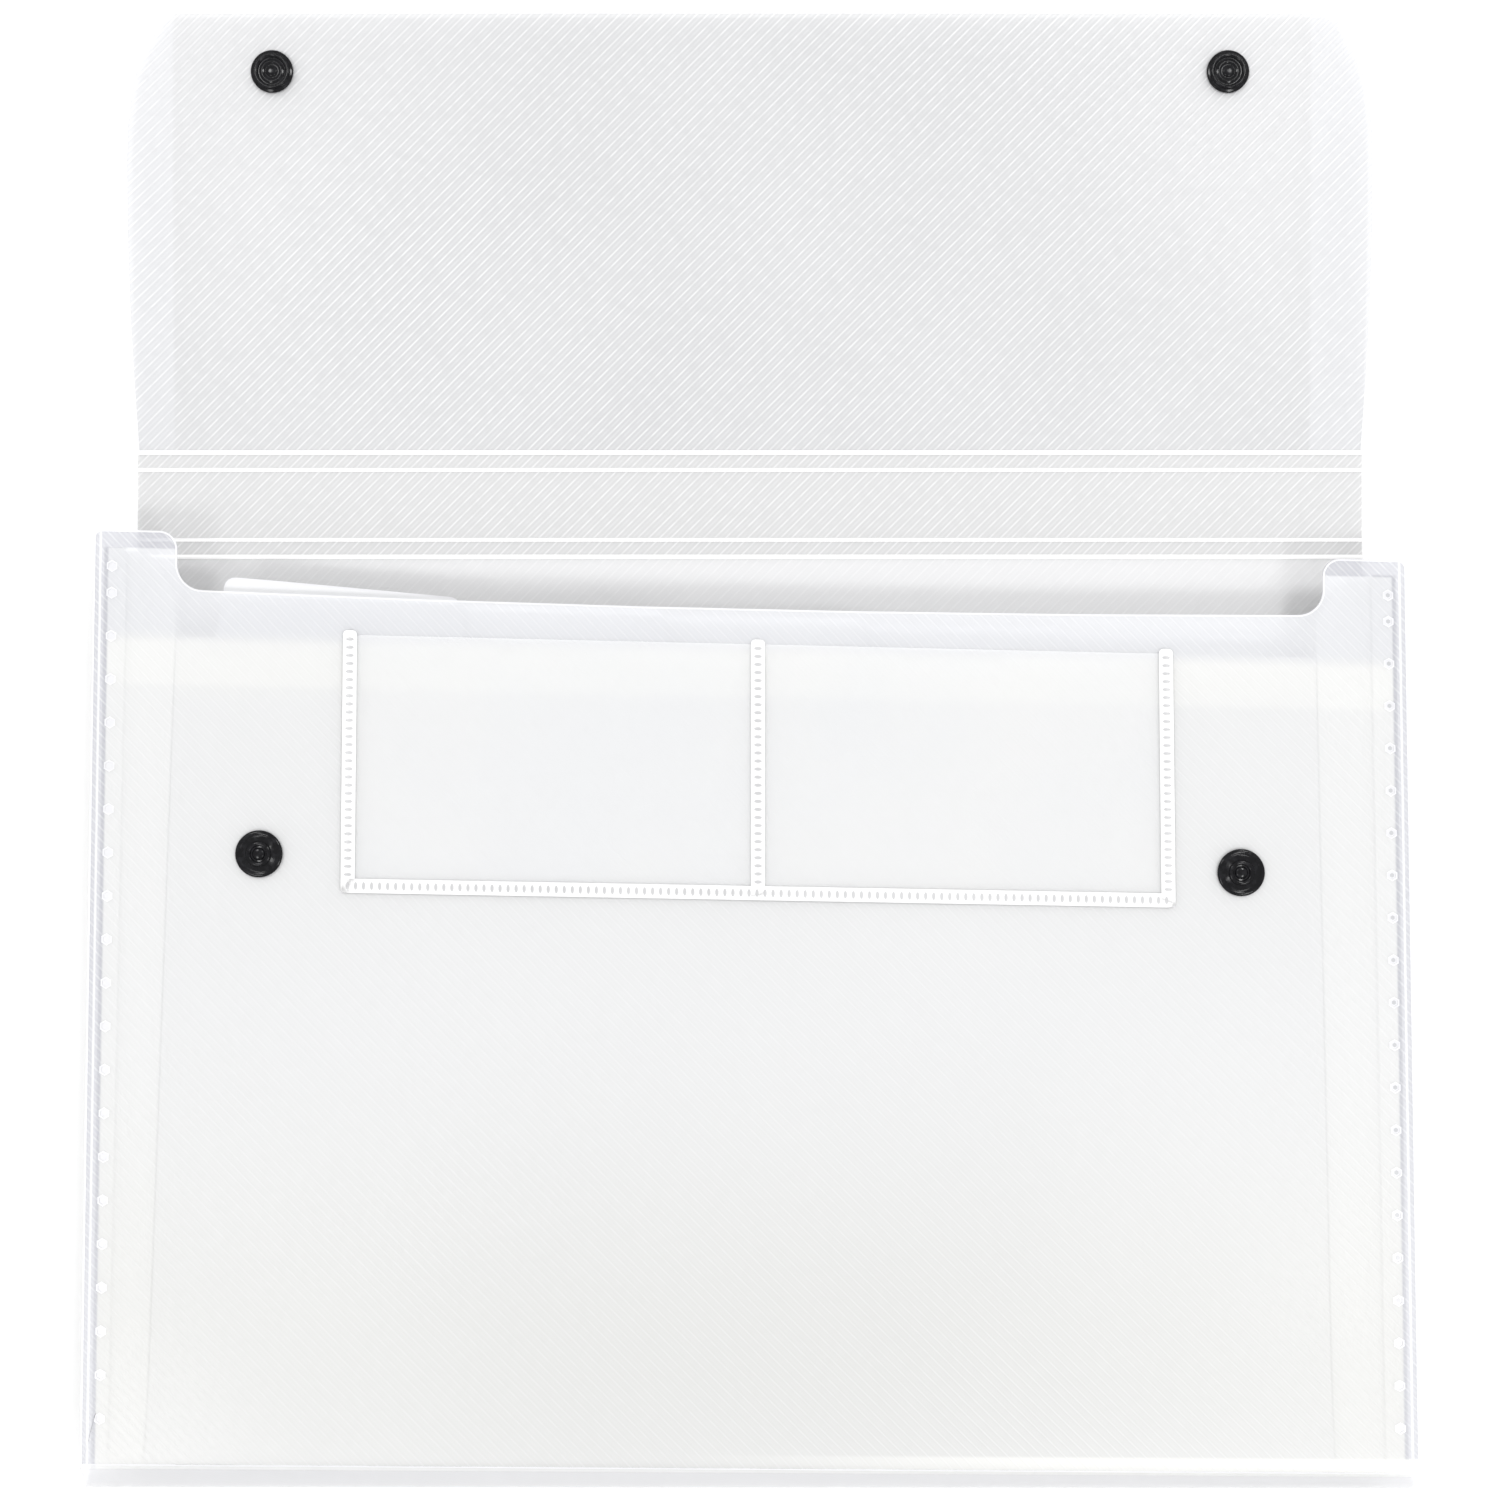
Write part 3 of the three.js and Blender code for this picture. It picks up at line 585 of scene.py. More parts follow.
@dataclass
class SheetWork:
    """Turns frame nodes into fine sheets that are rimmed, bent and dressed.

    Attributes:
        merge: The distance within which two points of a mesh are one.
        cut_merge: The same, where the grid cuts close to a point.
        flat: The angle below which two faces are one.
    """

    form: StackForm
    rim: Material
    rim_width: float = 0.45 * MM
    merge: float = 1e-6
    cut_merge: float = 1e-7
    flat: float = math.radians(0.2)

    def start(self, name: str) -> Piece:
        """Makes an empty piece.

        Args:
            name: Its name.

        Returns:
            The new object.
        """
        piece = bpy.data.objects.new(name, bpy.data.meshes.new(name))
        bpy.context.scene.collection.objects.link(piece)
        return piece

    def copy(self, node: str, name: str) -> tuple[Piece, Work]:
        """Copies a frame node's mesh, merged, with its flat faces whole.

        Args:
            node: The frame node.
            name: The new piece's name.

        Returns:
            The new object, and its mesh open for work.
        """
        mesh = frame["nodes"][node].data.copy()
        mesh.name = name
        mesh.materials.clear()
        for word in ("custom_normal", "sharp_edge", "sharp_face", "material_index"):
            if word in mesh.attributes:
                mesh.attributes.remove(mesh.attributes[word])
        for layer in list(mesh.uv_layers):
            mesh.uv_layers.remove(layer)
        work = bmesh.new()
        work.from_mesh(mesh)
        bmesh.ops.remove_doubles(work, verts=work.verts, dist=self.merge)
        bmesh.ops.dissolve_limit(work, angle_limit=self.flat, verts=work.verts, edges=work.edges)
        work.normal_update()
        piece = bpy.data.objects.new(name, mesh)
        bpy.context.scene.collection.objects.link(piece)
        return piece, work

    def edge_rim(self, work: Work, floor: Callable[[Vector], float]) -> None:
        """Gives the upper side of a sheet a narrow rim along its cut edges.

        Args:
            work: The sheet's mesh.
            floor: The height above which a face counts as the upper side.
        """
        upper = []
        for facet in work.faces:
            middle = facet.calc_center_median()
            if facet.normal.z > UPWARD and middle.z > floor(middle):
                upper.append(facet)
        ring = bmesh.ops.inset_region(
            work, faces=upper, use_boundary=True, use_even_offset=True, thickness=self.rim_width
        )
        for facet in ring["faces"]:
            facet.material_index = Face.TRIM

    def cut_grid(self, work: Work, node: str, step: float) -> None:
        """Cuts a sheet along a grid, so that it can bend.

        Args:
            work: The sheet's mesh.
            node: The frame node whose box the grid fills.
            step: The grid's spacing.
        """
        low, high = BOXES[node]
        for axis in (0, 1):
            count = max(round((high[axis] - low[axis]) / step), 1)
            normal = Vector((axis == 0, axis == 1, 0))
            for k in range(1, count):
                place = low.lerp(high, k / count)
                parts = work.verts[:] + work.edges[:] + work.faces[:]
                bmesh.ops.bisect_plane(
                    work, geom=parts, dist=self.cut_merge, plane_co=place, plane_no=normal
                )

    def bend(self, work: Work, shape: Callable[[Vector], Vector] | None = None) -> None:
        """Bends each point by a rule, then lets it settle with the stack.

        Args:
            work: The sheet's mesh.
            shape: The rule, or nothing.
        """
        for vertex in work.verts:
            vertex.co = self.form.settle(shape(vertex.co) if shape else vertex.co)

    def close(
        self, piece: Piece, work: Work, materials: list[Material], sharp: float = 35.0
    ) -> None:
        """Writes a worked mesh back and shades it.

        Args:
            piece: The object.
            work: Its open mesh.
            materials: Its finishes, in the order of the faces' numbers.
            sharp: The angle in degrees from which an edge stays sharp.
        """
        work.normal_update()
        work.to_mesh(piece.data)
        work.free()
        for material in materials:
            piece.data.materials.append(material)
        piece.data.shade_smooth()
        piece.data.set_sharp_from_angle(angle=math.radians(sharp))

    def dress(self, piece: Piece, body: str, slot: str, *nodes: str) -> None:
        """Puts a piece on its body, in the place of its nodes.

        Args:
            piece: The piece.
            body: The body it rides on.
            slot: The record's material slot; not used.
            nodes: The frame nodes it stands for.
        """
        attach(piece, body)
        if nodes:
            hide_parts(*nodes)
        LOG.info("%s: %d faces", piece.name, len(piece.data.polygons))


@dataclass
class Cover:
    """Back, bottom strip and front of the file, as one folded sheet.

    Attributes:
        eye_inset: Width of the pale ring round a weld's middle.
        eye_area: The area below which a sunken face is a weld.
        weld_depth: How deep below the front's outside a weld can lie.
    """

    sheets: SheetWork
    finish: Material
    weld_eye: Material
    grid: float = 12 * MM
    eye_inset: float = 0.42 * MM
    eye_area: float = 3.5 * MM * MM
    weld_depth: Pair = (0.05 * MM, 0.4 * MM)
    uv_name: str = "unfolded"

    def weld_eyes(self, work: Work) -> None:
        """Gives each weld dent on the front a pale ring, and on the right a clear eye.

        Args:
            work: The cover's mesh.
        """
        form = self.sheets.form
        least, most = self.weld_depth
        dents = []
        for facet in work.faces:
            middle = facet.calc_center_median()
            sunken = least < form.front_top(middle) - middle.z < most
            if facet.normal.z > UPWARD and sunken and facet.calc_area() < self.eye_area:
                dents.append(facet)
        ring = bmesh.ops.inset_individual(work, faces=dents, thickness=self.eye_inset)
        for facet in ring["faces"]:
            facet.material_index = Face.TRIM
        for facet in dents:
            right = facet.calc_center_median().x > 0
            facet.material_index = Face.EYE if right else Face.TRIM

    def unfold(self, work: Work) -> None:
        """Writes where each point lies on the flat sheet, for the embossed lines.

        Args:
            work: The cover's mesh, before it settles.
        """
        layer = work.loops.layers.uv.new(self.uv_name)
        for facet in work.faces:
            for loop in facet.loops:
                loop[layer].uv = self.sheets.form.unfold(loop.vert.co)

    def build(self) -> None:
        """Builds the cover's piece."""
        form = self.sheets.form
        piece, work = self.sheets.copy("cover", "cover_sheet")
        self.sheets.edge_rim(work, lambda point: form.front_top(point) - self.weld_depth[0])
        self.weld_eyes(work)
        self.sheets.cut_grid(work, "cover", self.grid)
        self.unfold(work)
        self.sheets.bend(work)
        self.sheets.close(piece, work, [self.finish, self.sheets.rim, self.weld_eye])
        self.sheets.dress(piece, "file", "cover_sheet", "cover")


@dataclass
class Flap:
    """Spacer strip and flap, with the scored lines where they fold.

    Attributes:
        curl: How far the flap's side edges lift.
        curl_start: How far out from the middle the lift starts.
        curl_end: How far out it is reached in full.
        crease_height: How far a fold line stands up.
        crease_share: The share of the sheet's thickness that it takes up.
        groove_slope: How much the normals of a scored groove's sides rise.
        groove_sharp: The angle in degrees from which the spacer's edges stay sharp.
    """

    sheets: SheetWork
    finish: Material
    crease: Material
    grid: float = 8 * MM
    spacer_grid: float = 24 * MM
    curl: float = 1.4 * MM
    curl_start: float = 138 * MM
    curl_end: float = 160 * MM
    crease_width: float = 1.1 * MM
    crease_height: float = 0.12 * MM
    crease_rows: int = 8
    crease_share: float = 0.9
    groove_slope: Pair = (0.5, 0.99)
    groove_sharp: float = 15.0

    def shape(self, point: Vector) -> Vector:
        """Lifts the flap's side edges, more towards its middle than at its hinge.

        Args:
            point: A point of the flap.

        Returns:
            The point's new place.
        """
        low, high = BOXES["flap"]
        out = (abs(point.x) - self.curl_start) / (self.curl_end - self.curl_start)
        out = min(max(out, 0.0), 1.0)
        along = min(max((point.y - low.y) / (high.y - low.y), 0.0), 1.0)
        return point + Vector((0, 0, self.curl * out * out * math.sin(math.pi * along)))

    def spacer(self) -> None:
        """Makes the spacer strip, with its two scored grooves."""
        piece, work = self.sheets.copy("flap_spacer", "spacer_sheet")
        least, most = self.groove_slope
        for facet in work.faces:
            if least < facet.normal.z < most:
                facet.material_index = Face.TRIM
        self.sheets.cut_grid(work, "flap_spacer", self.spacer_grid)
        self.sheets.close(piece, work, [self.finish, self.crease], self.groove_sharp)
        self.sheets.dress(piece, "spacer", "cover_sheet", "flap_spacer")

    def flap(self) -> None:
        """Makes the flap itself."""
        piece, work = self.sheets.copy("flap", "flap_sheet")
        self.sheets.edge_rim(work, lambda point: 0.0)
        self.sheets.cut_grid(work, "flap", self.grid)
        for vertex in work.verts:
            vertex.co = self.shape(vertex.co)
        self.sheets.close(piece, work, [self.finish, self.sheets.rim])
        self.sheets.dress(piece, "flap", "cover_sheet", "flap")

    def fold_line(self, name: str, y: float) -> None:
        """Makes the whitened fold that joins two panels.

        Args:
            name: The fold's name.
            y: Where the fold lies.
        """
        low, high = BOXES["flap_spacer"]
        work = bmesh.new()
        bmesh.ops.create_grid(work, x_segments=2, y_segments=self.crease_rows, size=0.5)
        for vertex in work.verts:
            vertex.co.z = self.crease_height * math.cos(math.pi * vertex.co.y)
        size = Matrix.Diagonal((high.x - low.x, self.crease_width, 1, 1))
        place = Matrix.Translation((0, y, high.z))
        bmesh.ops.transform(work, matrix=place @ size, verts=work.verts)
        bmesh.ops.solidify(work, geom=work.faces[:], thickness=self.crease_share * high.z)
        bmesh.ops.recalc_face_normals(work, faces=work.faces)
        piece = self.sheets.start(name)
        self.sheets.close(piece, work, [self.crease])
        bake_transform(piece)

    def build(self) -> None:
        """Builds the two panels and their fold lines."""
        self.spacer()
        self.flap()
        for name, joint in JOINTS.items():
            self.fold_line(f"{name}_line", joint["pos_m"][1])


@dataclass
class Filling:
    """Pleated gussets and tabbed dividers between back and front.

    Attributes:
        tab_middle: Where the front divider's tab has its middle.
        tab_tilt: How far that tab leans.
        pinch_left: How far the left pleats are drawn together, at the mouth and the bottom.
        pinch_right: The same at the right.
        pinch_from: How far out from the middle the dividers start to follow.
    """

    sheets: SheetWork
    gusset: Material
    divider: Material
    grid: float = 24 * MM
    tab_height: float = 11.5 * MM
    tab_middle: float = -80 * MM
    tab_tilt: float = math.radians(4.1)
    pinch_left: Pair = (3.1 * MM, 9.0 * MM)
    pinch_right: Pair = (1.3 * MM, 3.6 * MM)
    pinch_from: float = 118 * MM
    divider_count: int = 5

    def pinched(self, point: Vector) -> Vector:
        """Draws the pleats together, more near the bottom, and the dividers' sides with them.

        Args:
            point: A point of a gusset or divider.

        Returns:
            The point's new place.
        """
        outer = BOXES["gusset_right"][1].x
        inner = BOXES["gusset_right"][0].x
        _, up = self.sheets.form.level(point)
        size = abs(point.x)
        if size > inner:
            share = (outer - size) / (outer - inner)
        else:
            share = max(size - self.pinch_from, 0.0) / (inner - self.pinch_from)
        mouth, bottom = self.pinch_left if point.x < 0 else self.pinch_right
        shift = share * (bottom + (mouth - bottom) * min(up, 1.0))
        return point + Vector((math.copysign(shift, point.x), 0, 0))

    def lead_tab(self, point: Vector) -> Vector:
        """Leans the front divider's tab, which has been pushed up on one side.

        Args:
            point: A point of the front divider.

        Returns:
            The point's new place.
        """
        root = BOXES["divider_1"][1].y - self.tab_height
        rise = min(max((point.y - root) / self.tab_height, 0.0), 1.0)
        lift = (self.tab_middle - point.x) * math.tan(self.tab_tilt) * rise
        return self.pinched(point + Vector((0, lift, 0)))

    def build(self) -> None:
        """Builds both gussets and all dividers."""
        for side in ("left", "right"):
            node = f"gusset_{side}"
            piece, work = self.sheets.copy(node, f"{node}_pleats")
            self.sheets.cut_grid(work, node, self.grid)
            self.sheets.bend(work, self.pinched)
            self.sheets.close(piece, work, [self.gusset])
            self.sheets.dress(piece, "file", "gusset_sheet", node)
        for number in range(1, self.divider_count + 1):
            node = f"divider_{number}"
            piece, work = self.sheets.copy(node, f"{node}_leaf")
            self.sheets.edge_rim(work, lambda point: 0.0)
            self.sheets.cut_grid(work, node, self.grid)
            self.sheets.bend(work, self.lead_tab if number == 1 else self.pinched)
            self.sheets.close(piece, work, [self.divider, self.sheets.rim])
            self.sheets.dress(piece, "file", "divider_sheet", node)


@dataclass
class CardPocket:
    """Clear film pocket on the front, with its whitened weld strips and pressed marks.

    Attributes:
        strip_overrun: How far a weld strip runs on beyond the film's mouth.
        corner_share: The share of its width by which its corners are rounded.
        seat: How high above the front a strip starts.
        mark_top: The size of a mark's top beside that of its foot.
        mark_rise: How far it stands above the strip, in strip thicknesses.
    """

    sheets: SheetWork
    film: Material
    strip: Material
    mark: Material
    grid: float = 9 * MM
    strip_width: float = 3.5 * MM
    strip_thickness: float = 0.05 * MM
    strip_overrun: float = 1.2 * MM
    corner_share: float = 0.3
    corner_steps: int = 3
    seat: float = 0.58 * MM
    mark_pitch: float = 2.0 * MM
    mark_length: float = 2.0 * MM
    mark_width: float = 0.85 * MM
    mark_sides: int = 10
    mark_top: float = 0.8
    mark_rise: float = 0.9

    def slab(self, work: Work, size: Vector, middle: Vector) -> None:
        """Adds one strip with rounded corners.

        Args:
            work: The mesh to add to.
            size: The strip's size.
            middle: Its middle.
        """
        place = Matrix.Translation(middle) @ Matrix.Diagonal((*size, 1))
        made = bmesh.ops.create_cube(work, size=1, matrix=place)
        edges = {edge for vertex in made["verts"] for edge in vertex.link_edges}
        upright = [e for e in edges if abs(e.verts[0].co.z - e.verts[1].co.z) > size.z / 2]
        radius = min(size.x, size.y) * self.corner_share
        bmesh.ops.bevel(
            work, geom=upright, offset=radius, affect="EDGES",
            segments=self.corner_steps, profile=0.5, material=-1,
        )

    def press(self, work: Work, middle: Vector, turned: bool) -> None:
        """Adds one pressed mark.

        Args:
            work: The mesh to add to.
            middle: Its middle.
            turned: Whether its long side runs up the pocket.
        """
        length, width = self.mark_length / 2, self.mark_width / 2
        size = (width, length) if turned else (length, width)
        place = Matrix.Translation(middle) @ Matrix.Diagonal((*size, 1, 1))
        made = bmesh.ops.create_cone(
            work, cap_ends=True, segments=self.mark_sides, radius1=1, radius2=self.mark_top,
            depth=self.strip_thickness, matrix=place,
        )
        for facet in {facet for vertex in made["verts"] for facet in vertex.link_faces}:
            facet.material_index = Face.TRIM

    def welds(self, work: Work) -> None:
        """Adds the strips and marks, in the front's own frame.

        Args:
            work: The mesh to add to.
        """
        form = self.sheets.form
        low, high = BOXES["card_pocket"]
        bottom = (low.y - form.foot.y) / math.cos(form.tilt)
        top = (high.y - form.foot.y) / math.cos(form.tilt)
        half = self.strip_width / 2
        level = self.seat + self.strip_thickness / 2
        above = level + self.mark_rise * self.strip_thickness
        length = top - bottom + self.strip_overrun
        middle = (low.x + high.x) / 2
        rows = int((length - self.strip_width) / self.mark_pitch)
        for x in (low.x + half, middle, high.x - half):
            size = Vector((self.strip_width, length, self.strip_thickness))
            self.slab(work, size, Vector((x, bottom + length / 2, level)))
            for k in range(rows):
                up = bottom + self.strip_width + (k + 0.5) * self.mark_pitch
                self.press(work, Vector((x, up, above)), False)
        size = Vector((high.x - low.x, self.strip_width, self.strip_thickness))
        self.slab(work, size, Vector((middle, bottom + half, level)))
        count = int((high.x - low.x - self.strip_width) / self.mark_pitch)
        for k in range(count + 1):
            x = low.x + half + k * self.mark_pitch
            self.press(work, Vector((x, bottom + half, above)), True)

    def build(self) -> None:
        """Builds the film and its weld strips."""
        piece, work = self.sheets.copy("card_pocket", "card_pocket_film")
        self.sheets.cut_grid(work, "card_pocket", self.grid)
        self.sheets.bend(work)
        self.sheets.close(piece, work, [self.film])
        self.sheets.dress(piece, "file", "pocket_film", "card_pocket")
        piece = self.sheets.start("card_pocket_welds")
        work = bmesh.new()
        self.welds(work)
        bmesh.ops.transform(work, matrix=self.sheets.form.on_front(), verts=work.verts)
        self.sheets.cut_grid(work, "card_pocket", self.grid)
        self.sheets.bend(work)
        self.sheets.close(piece, work, [self.strip, self.mark])
        self.sheets.dress(piece, "file", "pocket_film")


class SnapHalf(Enum):
    """The halves of a press snap, and the caps behind them."""

    SOCKET = "snap_socket"
    STUD = "snap_stud"
    FLAP_CAP = "flap_cap"
    FRONT_CAP = "front_cap"


@dataclass
class Snaps:
    """Black press snaps.

    Attributes:
        flap_rise: How far the flap has risen at flap_reach from its hinge.
        flap_reach: The distance along the flap for flap_rise.
        sharp: The angle in degrees from which their edges stay sharp.
    """

    sheets: SheetWork
    finish: Material
    steps: int = 64
    flap_rise: float = 1.4 * MM
    flap_reach: float = 91.9 * MM
    sharp: float = 50.0

    def profile(self, half: SnapHalf) -> tuple[Pair, ...]:
        """Gives a half's section as radius and height in millimetres.

        Args:
            half: Which half.

        Returns:
            The section, from the axis outwards and back to the axis.
        """
        if half is SnapHalf.SOCKET:
            return (
                (0.0, 0.2), (5.4, 0.2), (5.4, 0.55), (5.2, 0.75), (4.75, 0.75),
                (4.6, 0.9), (4.6, 1.1), (4.35, 1.35), (3.95, 1.35), (3.7, 1.15),
                (3.5, 0.95), (3.4, 0.7), (2.9, 0.7), (2.7, 0.9), (2.3, 0.9),
                (2.1, 0.72), (1.6, 0.72), (1.5, 1.0), (1.1, 1.15), (0.4, 1.2), (0.0, 1.2),
            )
        if half is SnapHalf.STUD:
            return (
                (0.0, 0.2), (5.85, 0.2), (5.85, 0.6), (5.6, 0.88), (4.9, 0.9),
                (4.7, 0.74), (4.3, 0.74), (4.1, 0.9), (3.35, 0.9), (3.15, 1.1),
                (3.15, 1.15), (2.9, 1.42), (2.3, 1.42), (2.05, 1.2), (1.95, 0.8),
                (1.6, 0.72), (1.5, 0.95), (1.1, 1.15), (0.4, 1.2), (0.0, 1.2),
            )
        return (
            (0.0, -2.0), (5.0, -2.0), (5.65, -1.8), (6.0, -1.4),
            (6.0, -0.95), (5.85, -0.8), (0.0, -0.8),
        )

    def build_half(self, half: SnapHalf, word: str) -> None:
        """Builds one half of one snap.

        Args:
            half: Which half.
            word: The side, left or right.
        """
        node = f"{half.value}_{word}"
        form = self.sheets.form
        low, high = BOXES[node]
        middle = (low + high) / 2
        on_flap = half in (SnapHalf.SOCKET, SnapHalf.FLAP_CAP)
        work = bmesh.new()
        section = [work.verts.new((r * MM, 0, z * MM)) for r, z in self.profile(half)]
        edges = [work.edges.new(pair) for pair in zip(section, section[1:])]
        bmesh.ops.spin(
            work, geom=section + edges, axis=(0, 0, 1), cent=(0, 0, 0), angle=2 * math.pi,
            steps=self.steps, use_merge=True,
        )
        bmesh.ops.remove_doubles(work, verts=work.verts, dist=self.sheets.merge)
        bmesh.ops.recalc_face_normals(work, faces=work.faces)
        if on_flap:
            tilt = math.asin(self.flap_rise / self.flap_reach)
            hinge = Vector(JOINTS["flap_fold_upper"]["pos_m"])
            base = Matrix.Translation(hinge) @ Matrix.Rotation(tilt, 4, "X")
            along = (middle.y - hinge.y) / math.cos(tilt)
        else:
            base = form.on_front()
            along = (middle.y - form.foot.y) / math.cos(form.tilt)
        place = base @ Matrix.Translation((middle.x, along, 0))
        bmesh.ops.transform(work, matrix=place, verts=work.verts)
        if not on_flap:
            bmesh.ops.translate(work, verts=work.verts, vec=form.settle(middle) - middle)
        piece = self.sheets.start(f"{node}_round")
        self.sheets.close(piece, work, [self.finish], self.sharp)
        self.sheets.dress(piece, "flap" if on_flap else "file", "snap_plastic", node)

    def build(self) -> None:
        """Builds all halves and caps on both sides."""
        for word in ("left", "right"):
            for half in SnapHalf:
                self.build_half(half, word)


@dataclass
class Studio:
    """Floor, light and camera.

    Attributes:
        view_width: The width that the camera sees on the floor.
        floor_gap: How far the floor lies below the file.
        lamp_power: The lamps' powers, in the order in which they go round.
        lamp_reach: How far out a lamp hangs.
        lamp_start: The angle at which the first lamp hangs.
        clear_layers: How many clear layers light passes.
    """

    camera_height: float = 481.5 * MM
    view_width: float = 386.4 * MM
    sensor: float = 36.0
    clip_start: float = 0.01
    floor_size: float = 6.0
    floor_gap: float = 0.05 * MM
    world_strength: float = 0.78
    lamp_power: tuple[float, float, float, float] = (4.8, 3.9, 3.3, 4.2)
    lamp_size: float = 0.28
    lamp_reach: float = 0.8
    lamp_height: float = 1.25
    lamp_start: float = math.radians(45)
    max_bounces: int = 5
    diffuse_bounces: int = 3
    clear_layers: int = 20

    def floor(self) -> None:
        """Lays the floor."""
        mesh = bpy.data.meshes.new("floor")
        work = bmesh.new()
        bmesh.ops.create_grid(work, x_segments=1, y_segments=1, size=self.floor_size / 2)
        bmesh.ops.translate(work, verts=work.verts, vec=(0, 0, -self.floor_gap))
        work.to_mesh(mesh)
        work.free()
        plane = bpy.data.objects.new("floor", mesh)
        bpy.context.scene.collection.objects.link(plane)
        mesh.materials.append(PaleFloor().build())

    def light(self) -> None:
        """Sets the even surround and a ring of soft lamps."""
        scene = bpy.context.scene
        world = bpy.data.worlds.new("surround")
        world.use_nodes = True
        ground = world.node_tree.nodes["Background"]
        ground.inputs["Color"].default_value = (1, 1, 1, 1)
        ground.inputs["Strength"].default_value = self.world_strength
        scene.world = world
        for k, power in enumerate(self.lamp_power):
            angle = self.lamp_start + 2 * math.pi * k / len(self.lamp_power)
            lamp = bpy.data.lights.new(f"lamp_{k}", "AREA")
            lamp.size = self.lamp_size
            lamp.energy = power
            holder = bpy.data.objects.new(f"lamp_{k}", lamp)
            across, along = self.lamp_reach * math.cos(angle), self.lamp_reach * math.sin(angle)
            place = Vector((across, along, self.lamp_height))
            holder.location = place
            holder.rotation_euler = (-place).to_track_quat("-Z", "Y").to_euler()
            scene.collection.objects.link(holder)

    def camera(self) -> None:
        """Hangs the camera straight above."""
        scene = bpy.context.scene
        lens = bpy.data.cameras.new("camera")
        lens.sensor_width = self.sensor
        lens.lens = self.sensor * self.camera_height / self.view_width
        lens.clip_start = self.clip_start
        holder = bpy.data.objects.new("camera", lens)
        holder.location = (0, 0, self.camera_height)
        scene.collection.objects.link(holder)
        scene.camera = holder
        scene.view_settings.view_transform = "Standard"
        scene.cycles.max_bounces = self.max_bounces
        scene.cycles.diffuse_bounces = self.diffuse_bounces
        scene.cycles.transparent_max_bounces = self.clear_layers

    def build(self) -> None:
        """Builds the studio."""
        self.floor()
        self.light()
        self.camera()


def cover_finish(form: StackForm) -> EmbossedSheet:
    """Works out the cover's finish, which follows the unfolded sheet.

    Args:
        form: The stack's form.

    Returns:
        The finish.
    """
    fold = form.front_fold
    back = form.low.y
    beyond = fold - 250 * MM
    side = form.front_width / 2
    out = side + 9 * MM
    white = (0.99, 0.99, 0.99)
    cream = (0.97, 0.97, 0.945)
    bluish = (0.56, 0.565, 0.61)
    sharp = 0.3 * MM
    front = (
        Tint(1, beyond, fold, (0.86, 0.862, 0.865), sharp),
        Tint(1, fold - 60 * MM, fold, (0.785, 0.785, 0.765), 60 * MM),
    )
    above_dividers = (
        Tint(1, beyond, fold - 204 * MM, (0.80, 0.807, 0.835), 2 * MM),
        Tint(1, fold - 203 * MM, fold - 192 * MM, cream, 1.2 * MM, 0.35),
    )
    beside_gussets = (
        Tint(1, beyond, fold - 225.5 * MM, bluish, sharp),
        Tint(0, side - 3.7 * MM, out, bluish, sharp),
        Tint(0, -out, -side + 3.7 * MM, bluish, sharp),
        Tint(0, side - 2.0 * MM, side - 1.5 * MM, white, 0.2 * MM, 0.8),
        Tint(0, -side + 1.5 * MM, -side + 2.0 * MM, white, 0.2 * MM, 0.8),
    )
    # Painted light: the back is lightened around the front's mouth, where the front and dividers
    # cast shade on it.
    painted_light_at_mouth = (Tint(1, 12 * MM, 60 * MM, (0.89, 0.89, 0.90), 8 * MM),)
    bottom_strip = (
        Tint(1, fold + 0.8 * MM, back - 1.2 * MM, (0.93, 0.935, 0.96)),
        Tint(1, fold - 0.5 * MM, fold + 0.5 * MM, white, sharp),
        Tint(1, back - 1.0 * MM, back + 0.2 * MM, white, sharp),
        # Painted highlight: a cream band just above the front's bottom fold, where the bulging
        # fold catches the light, growing towards the right.
        Tint(1, fold - 4.2 * MM, fold, cream, 0.5 * MM, fade_from=-30 * MM, fade_to=90 * MM),
    )
    return EmbossedSheet(
        name="frosted_cover",
        ground=(0.72, 0.725, 0.74),
        pale=(0.76, 0.765, 0.78),
        line=(0.98, 0.98, 0.99),
        alpha=0.5,
        uv_name=Cover.uv_name,
        tints=front + above_dividers + beside_gussets + painted_light_at_mouth + bottom_strip,
        plain_below=fold,
    )


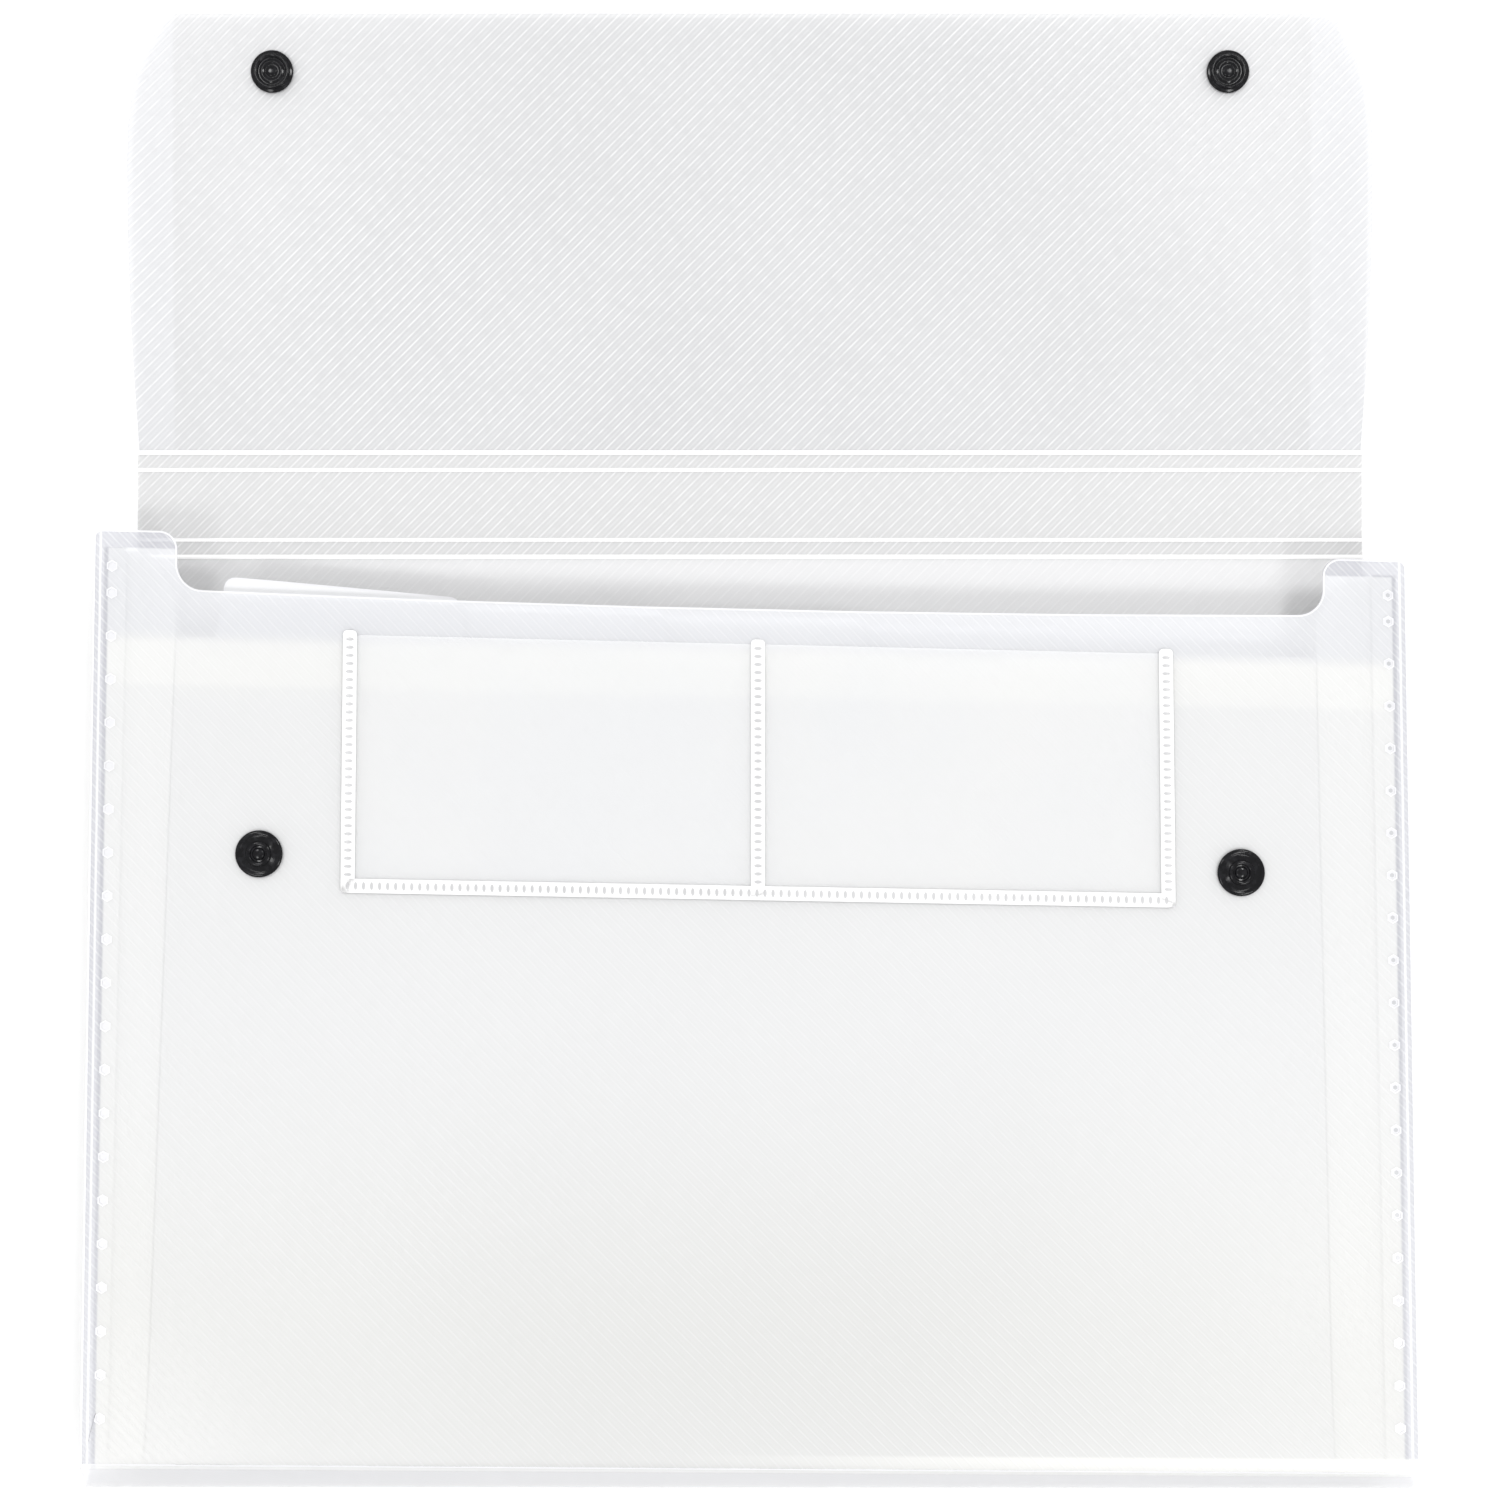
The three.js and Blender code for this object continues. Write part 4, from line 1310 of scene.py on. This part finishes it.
def flap_finish() -> EmbossedSheet:
    """Works out the flap's finish, paler along both sides, with painted light where the curled
    edges catch more light.

    Returns:
        The finish.
    """
    side = (0.735, 0.74, 0.76)
    width = BOXES["flap"][1].x
    # Painted light: both sides of the flap are paler, where its curled edges catch more light.
    left = Tint(0, -width, -148 * MM, side, 0.6 * MM)
    right = Tint(0, 144 * MM, width, side, 0.6 * MM)
    spacer = Tint(1, 48 * MM, 76.5 * MM, (0.735, 0.735, 0.74), 0.3 * MM)
    return EmbossedSheet(
        name="frosted_flap",
        ground=(0.665, 0.668, 0.68),
        pale=(0.715, 0.718, 0.73),
        line=(0.98, 0.98, 0.99),
        alpha=0.5,
        tints=(left, right, spacer),
    )


def main() -> None:
    """Builds every piece, then the studio."""
    logging.basicConfig(level=logging.INFO, format="%(asctime)s %(message)s")
    form = StackForm()
    band = Tint(1, 13 * MM, 25 * MM, (0.93, 0.93, 0.91), 1.5 * MM)
    plain = {
        sheet.name: sheet.build()
        for sheet in (
            PlainSheet("scored_line", (0.99, 0.99, 0.99), (1.0, 1.0, 1.0), 0.92),
            PlainSheet("cut_edge", (0.84, 0.84, 0.87), (0.88, 0.88, 0.90), 0.7),
            PlainSheet("weld_eye", (0.55, 0.56, 0.58), (0.62, 0.62, 0.64), 0.75, 0.2),
            PlainSheet("milky_pleats", (0.975, 0.975, 0.955), (1.0, 1.0, 0.985), 0.8),
            PlainSheet(
                "hazy_divider", (0.84, 0.845, 0.86), (0.88, 0.885, 0.895), 0.72, tints=(band,)
            ),
            PlainSheet("clear_film", (0.97, 0.98, 1.0), (1.0, 1.0, 1.0), 0.18, 0.12),
            PlainSheet("weld_strip", (0.93, 0.93, 0.93), (0.95, 0.95, 0.95), 0.8),
            PlainSheet("pressed_mark", (0.55, 0.55, 0.56), (0.64, 0.64, 0.65), 0.8, 0.2),
        )
    }
    sheets = SheetWork(form, plain["cut_edge"])
    Cover(sheets, cover_finish(form).build(), plain["weld_eye"]).build()
    Flap(sheets, flap_finish().build(), plain["scored_line"]).build()
    Filling(sheets, plain["milky_pleats"], plain["hazy_divider"]).build()
    pocket = (plain[name] for name in ("clear_film", "weld_strip", "pressed_mark"))
    CardPocket(sheets, *pocket).build()
    Snaps(sheets, MouldedBlack().build()).build()
    Studio().build()


if __name__ == "__main__":
    main()
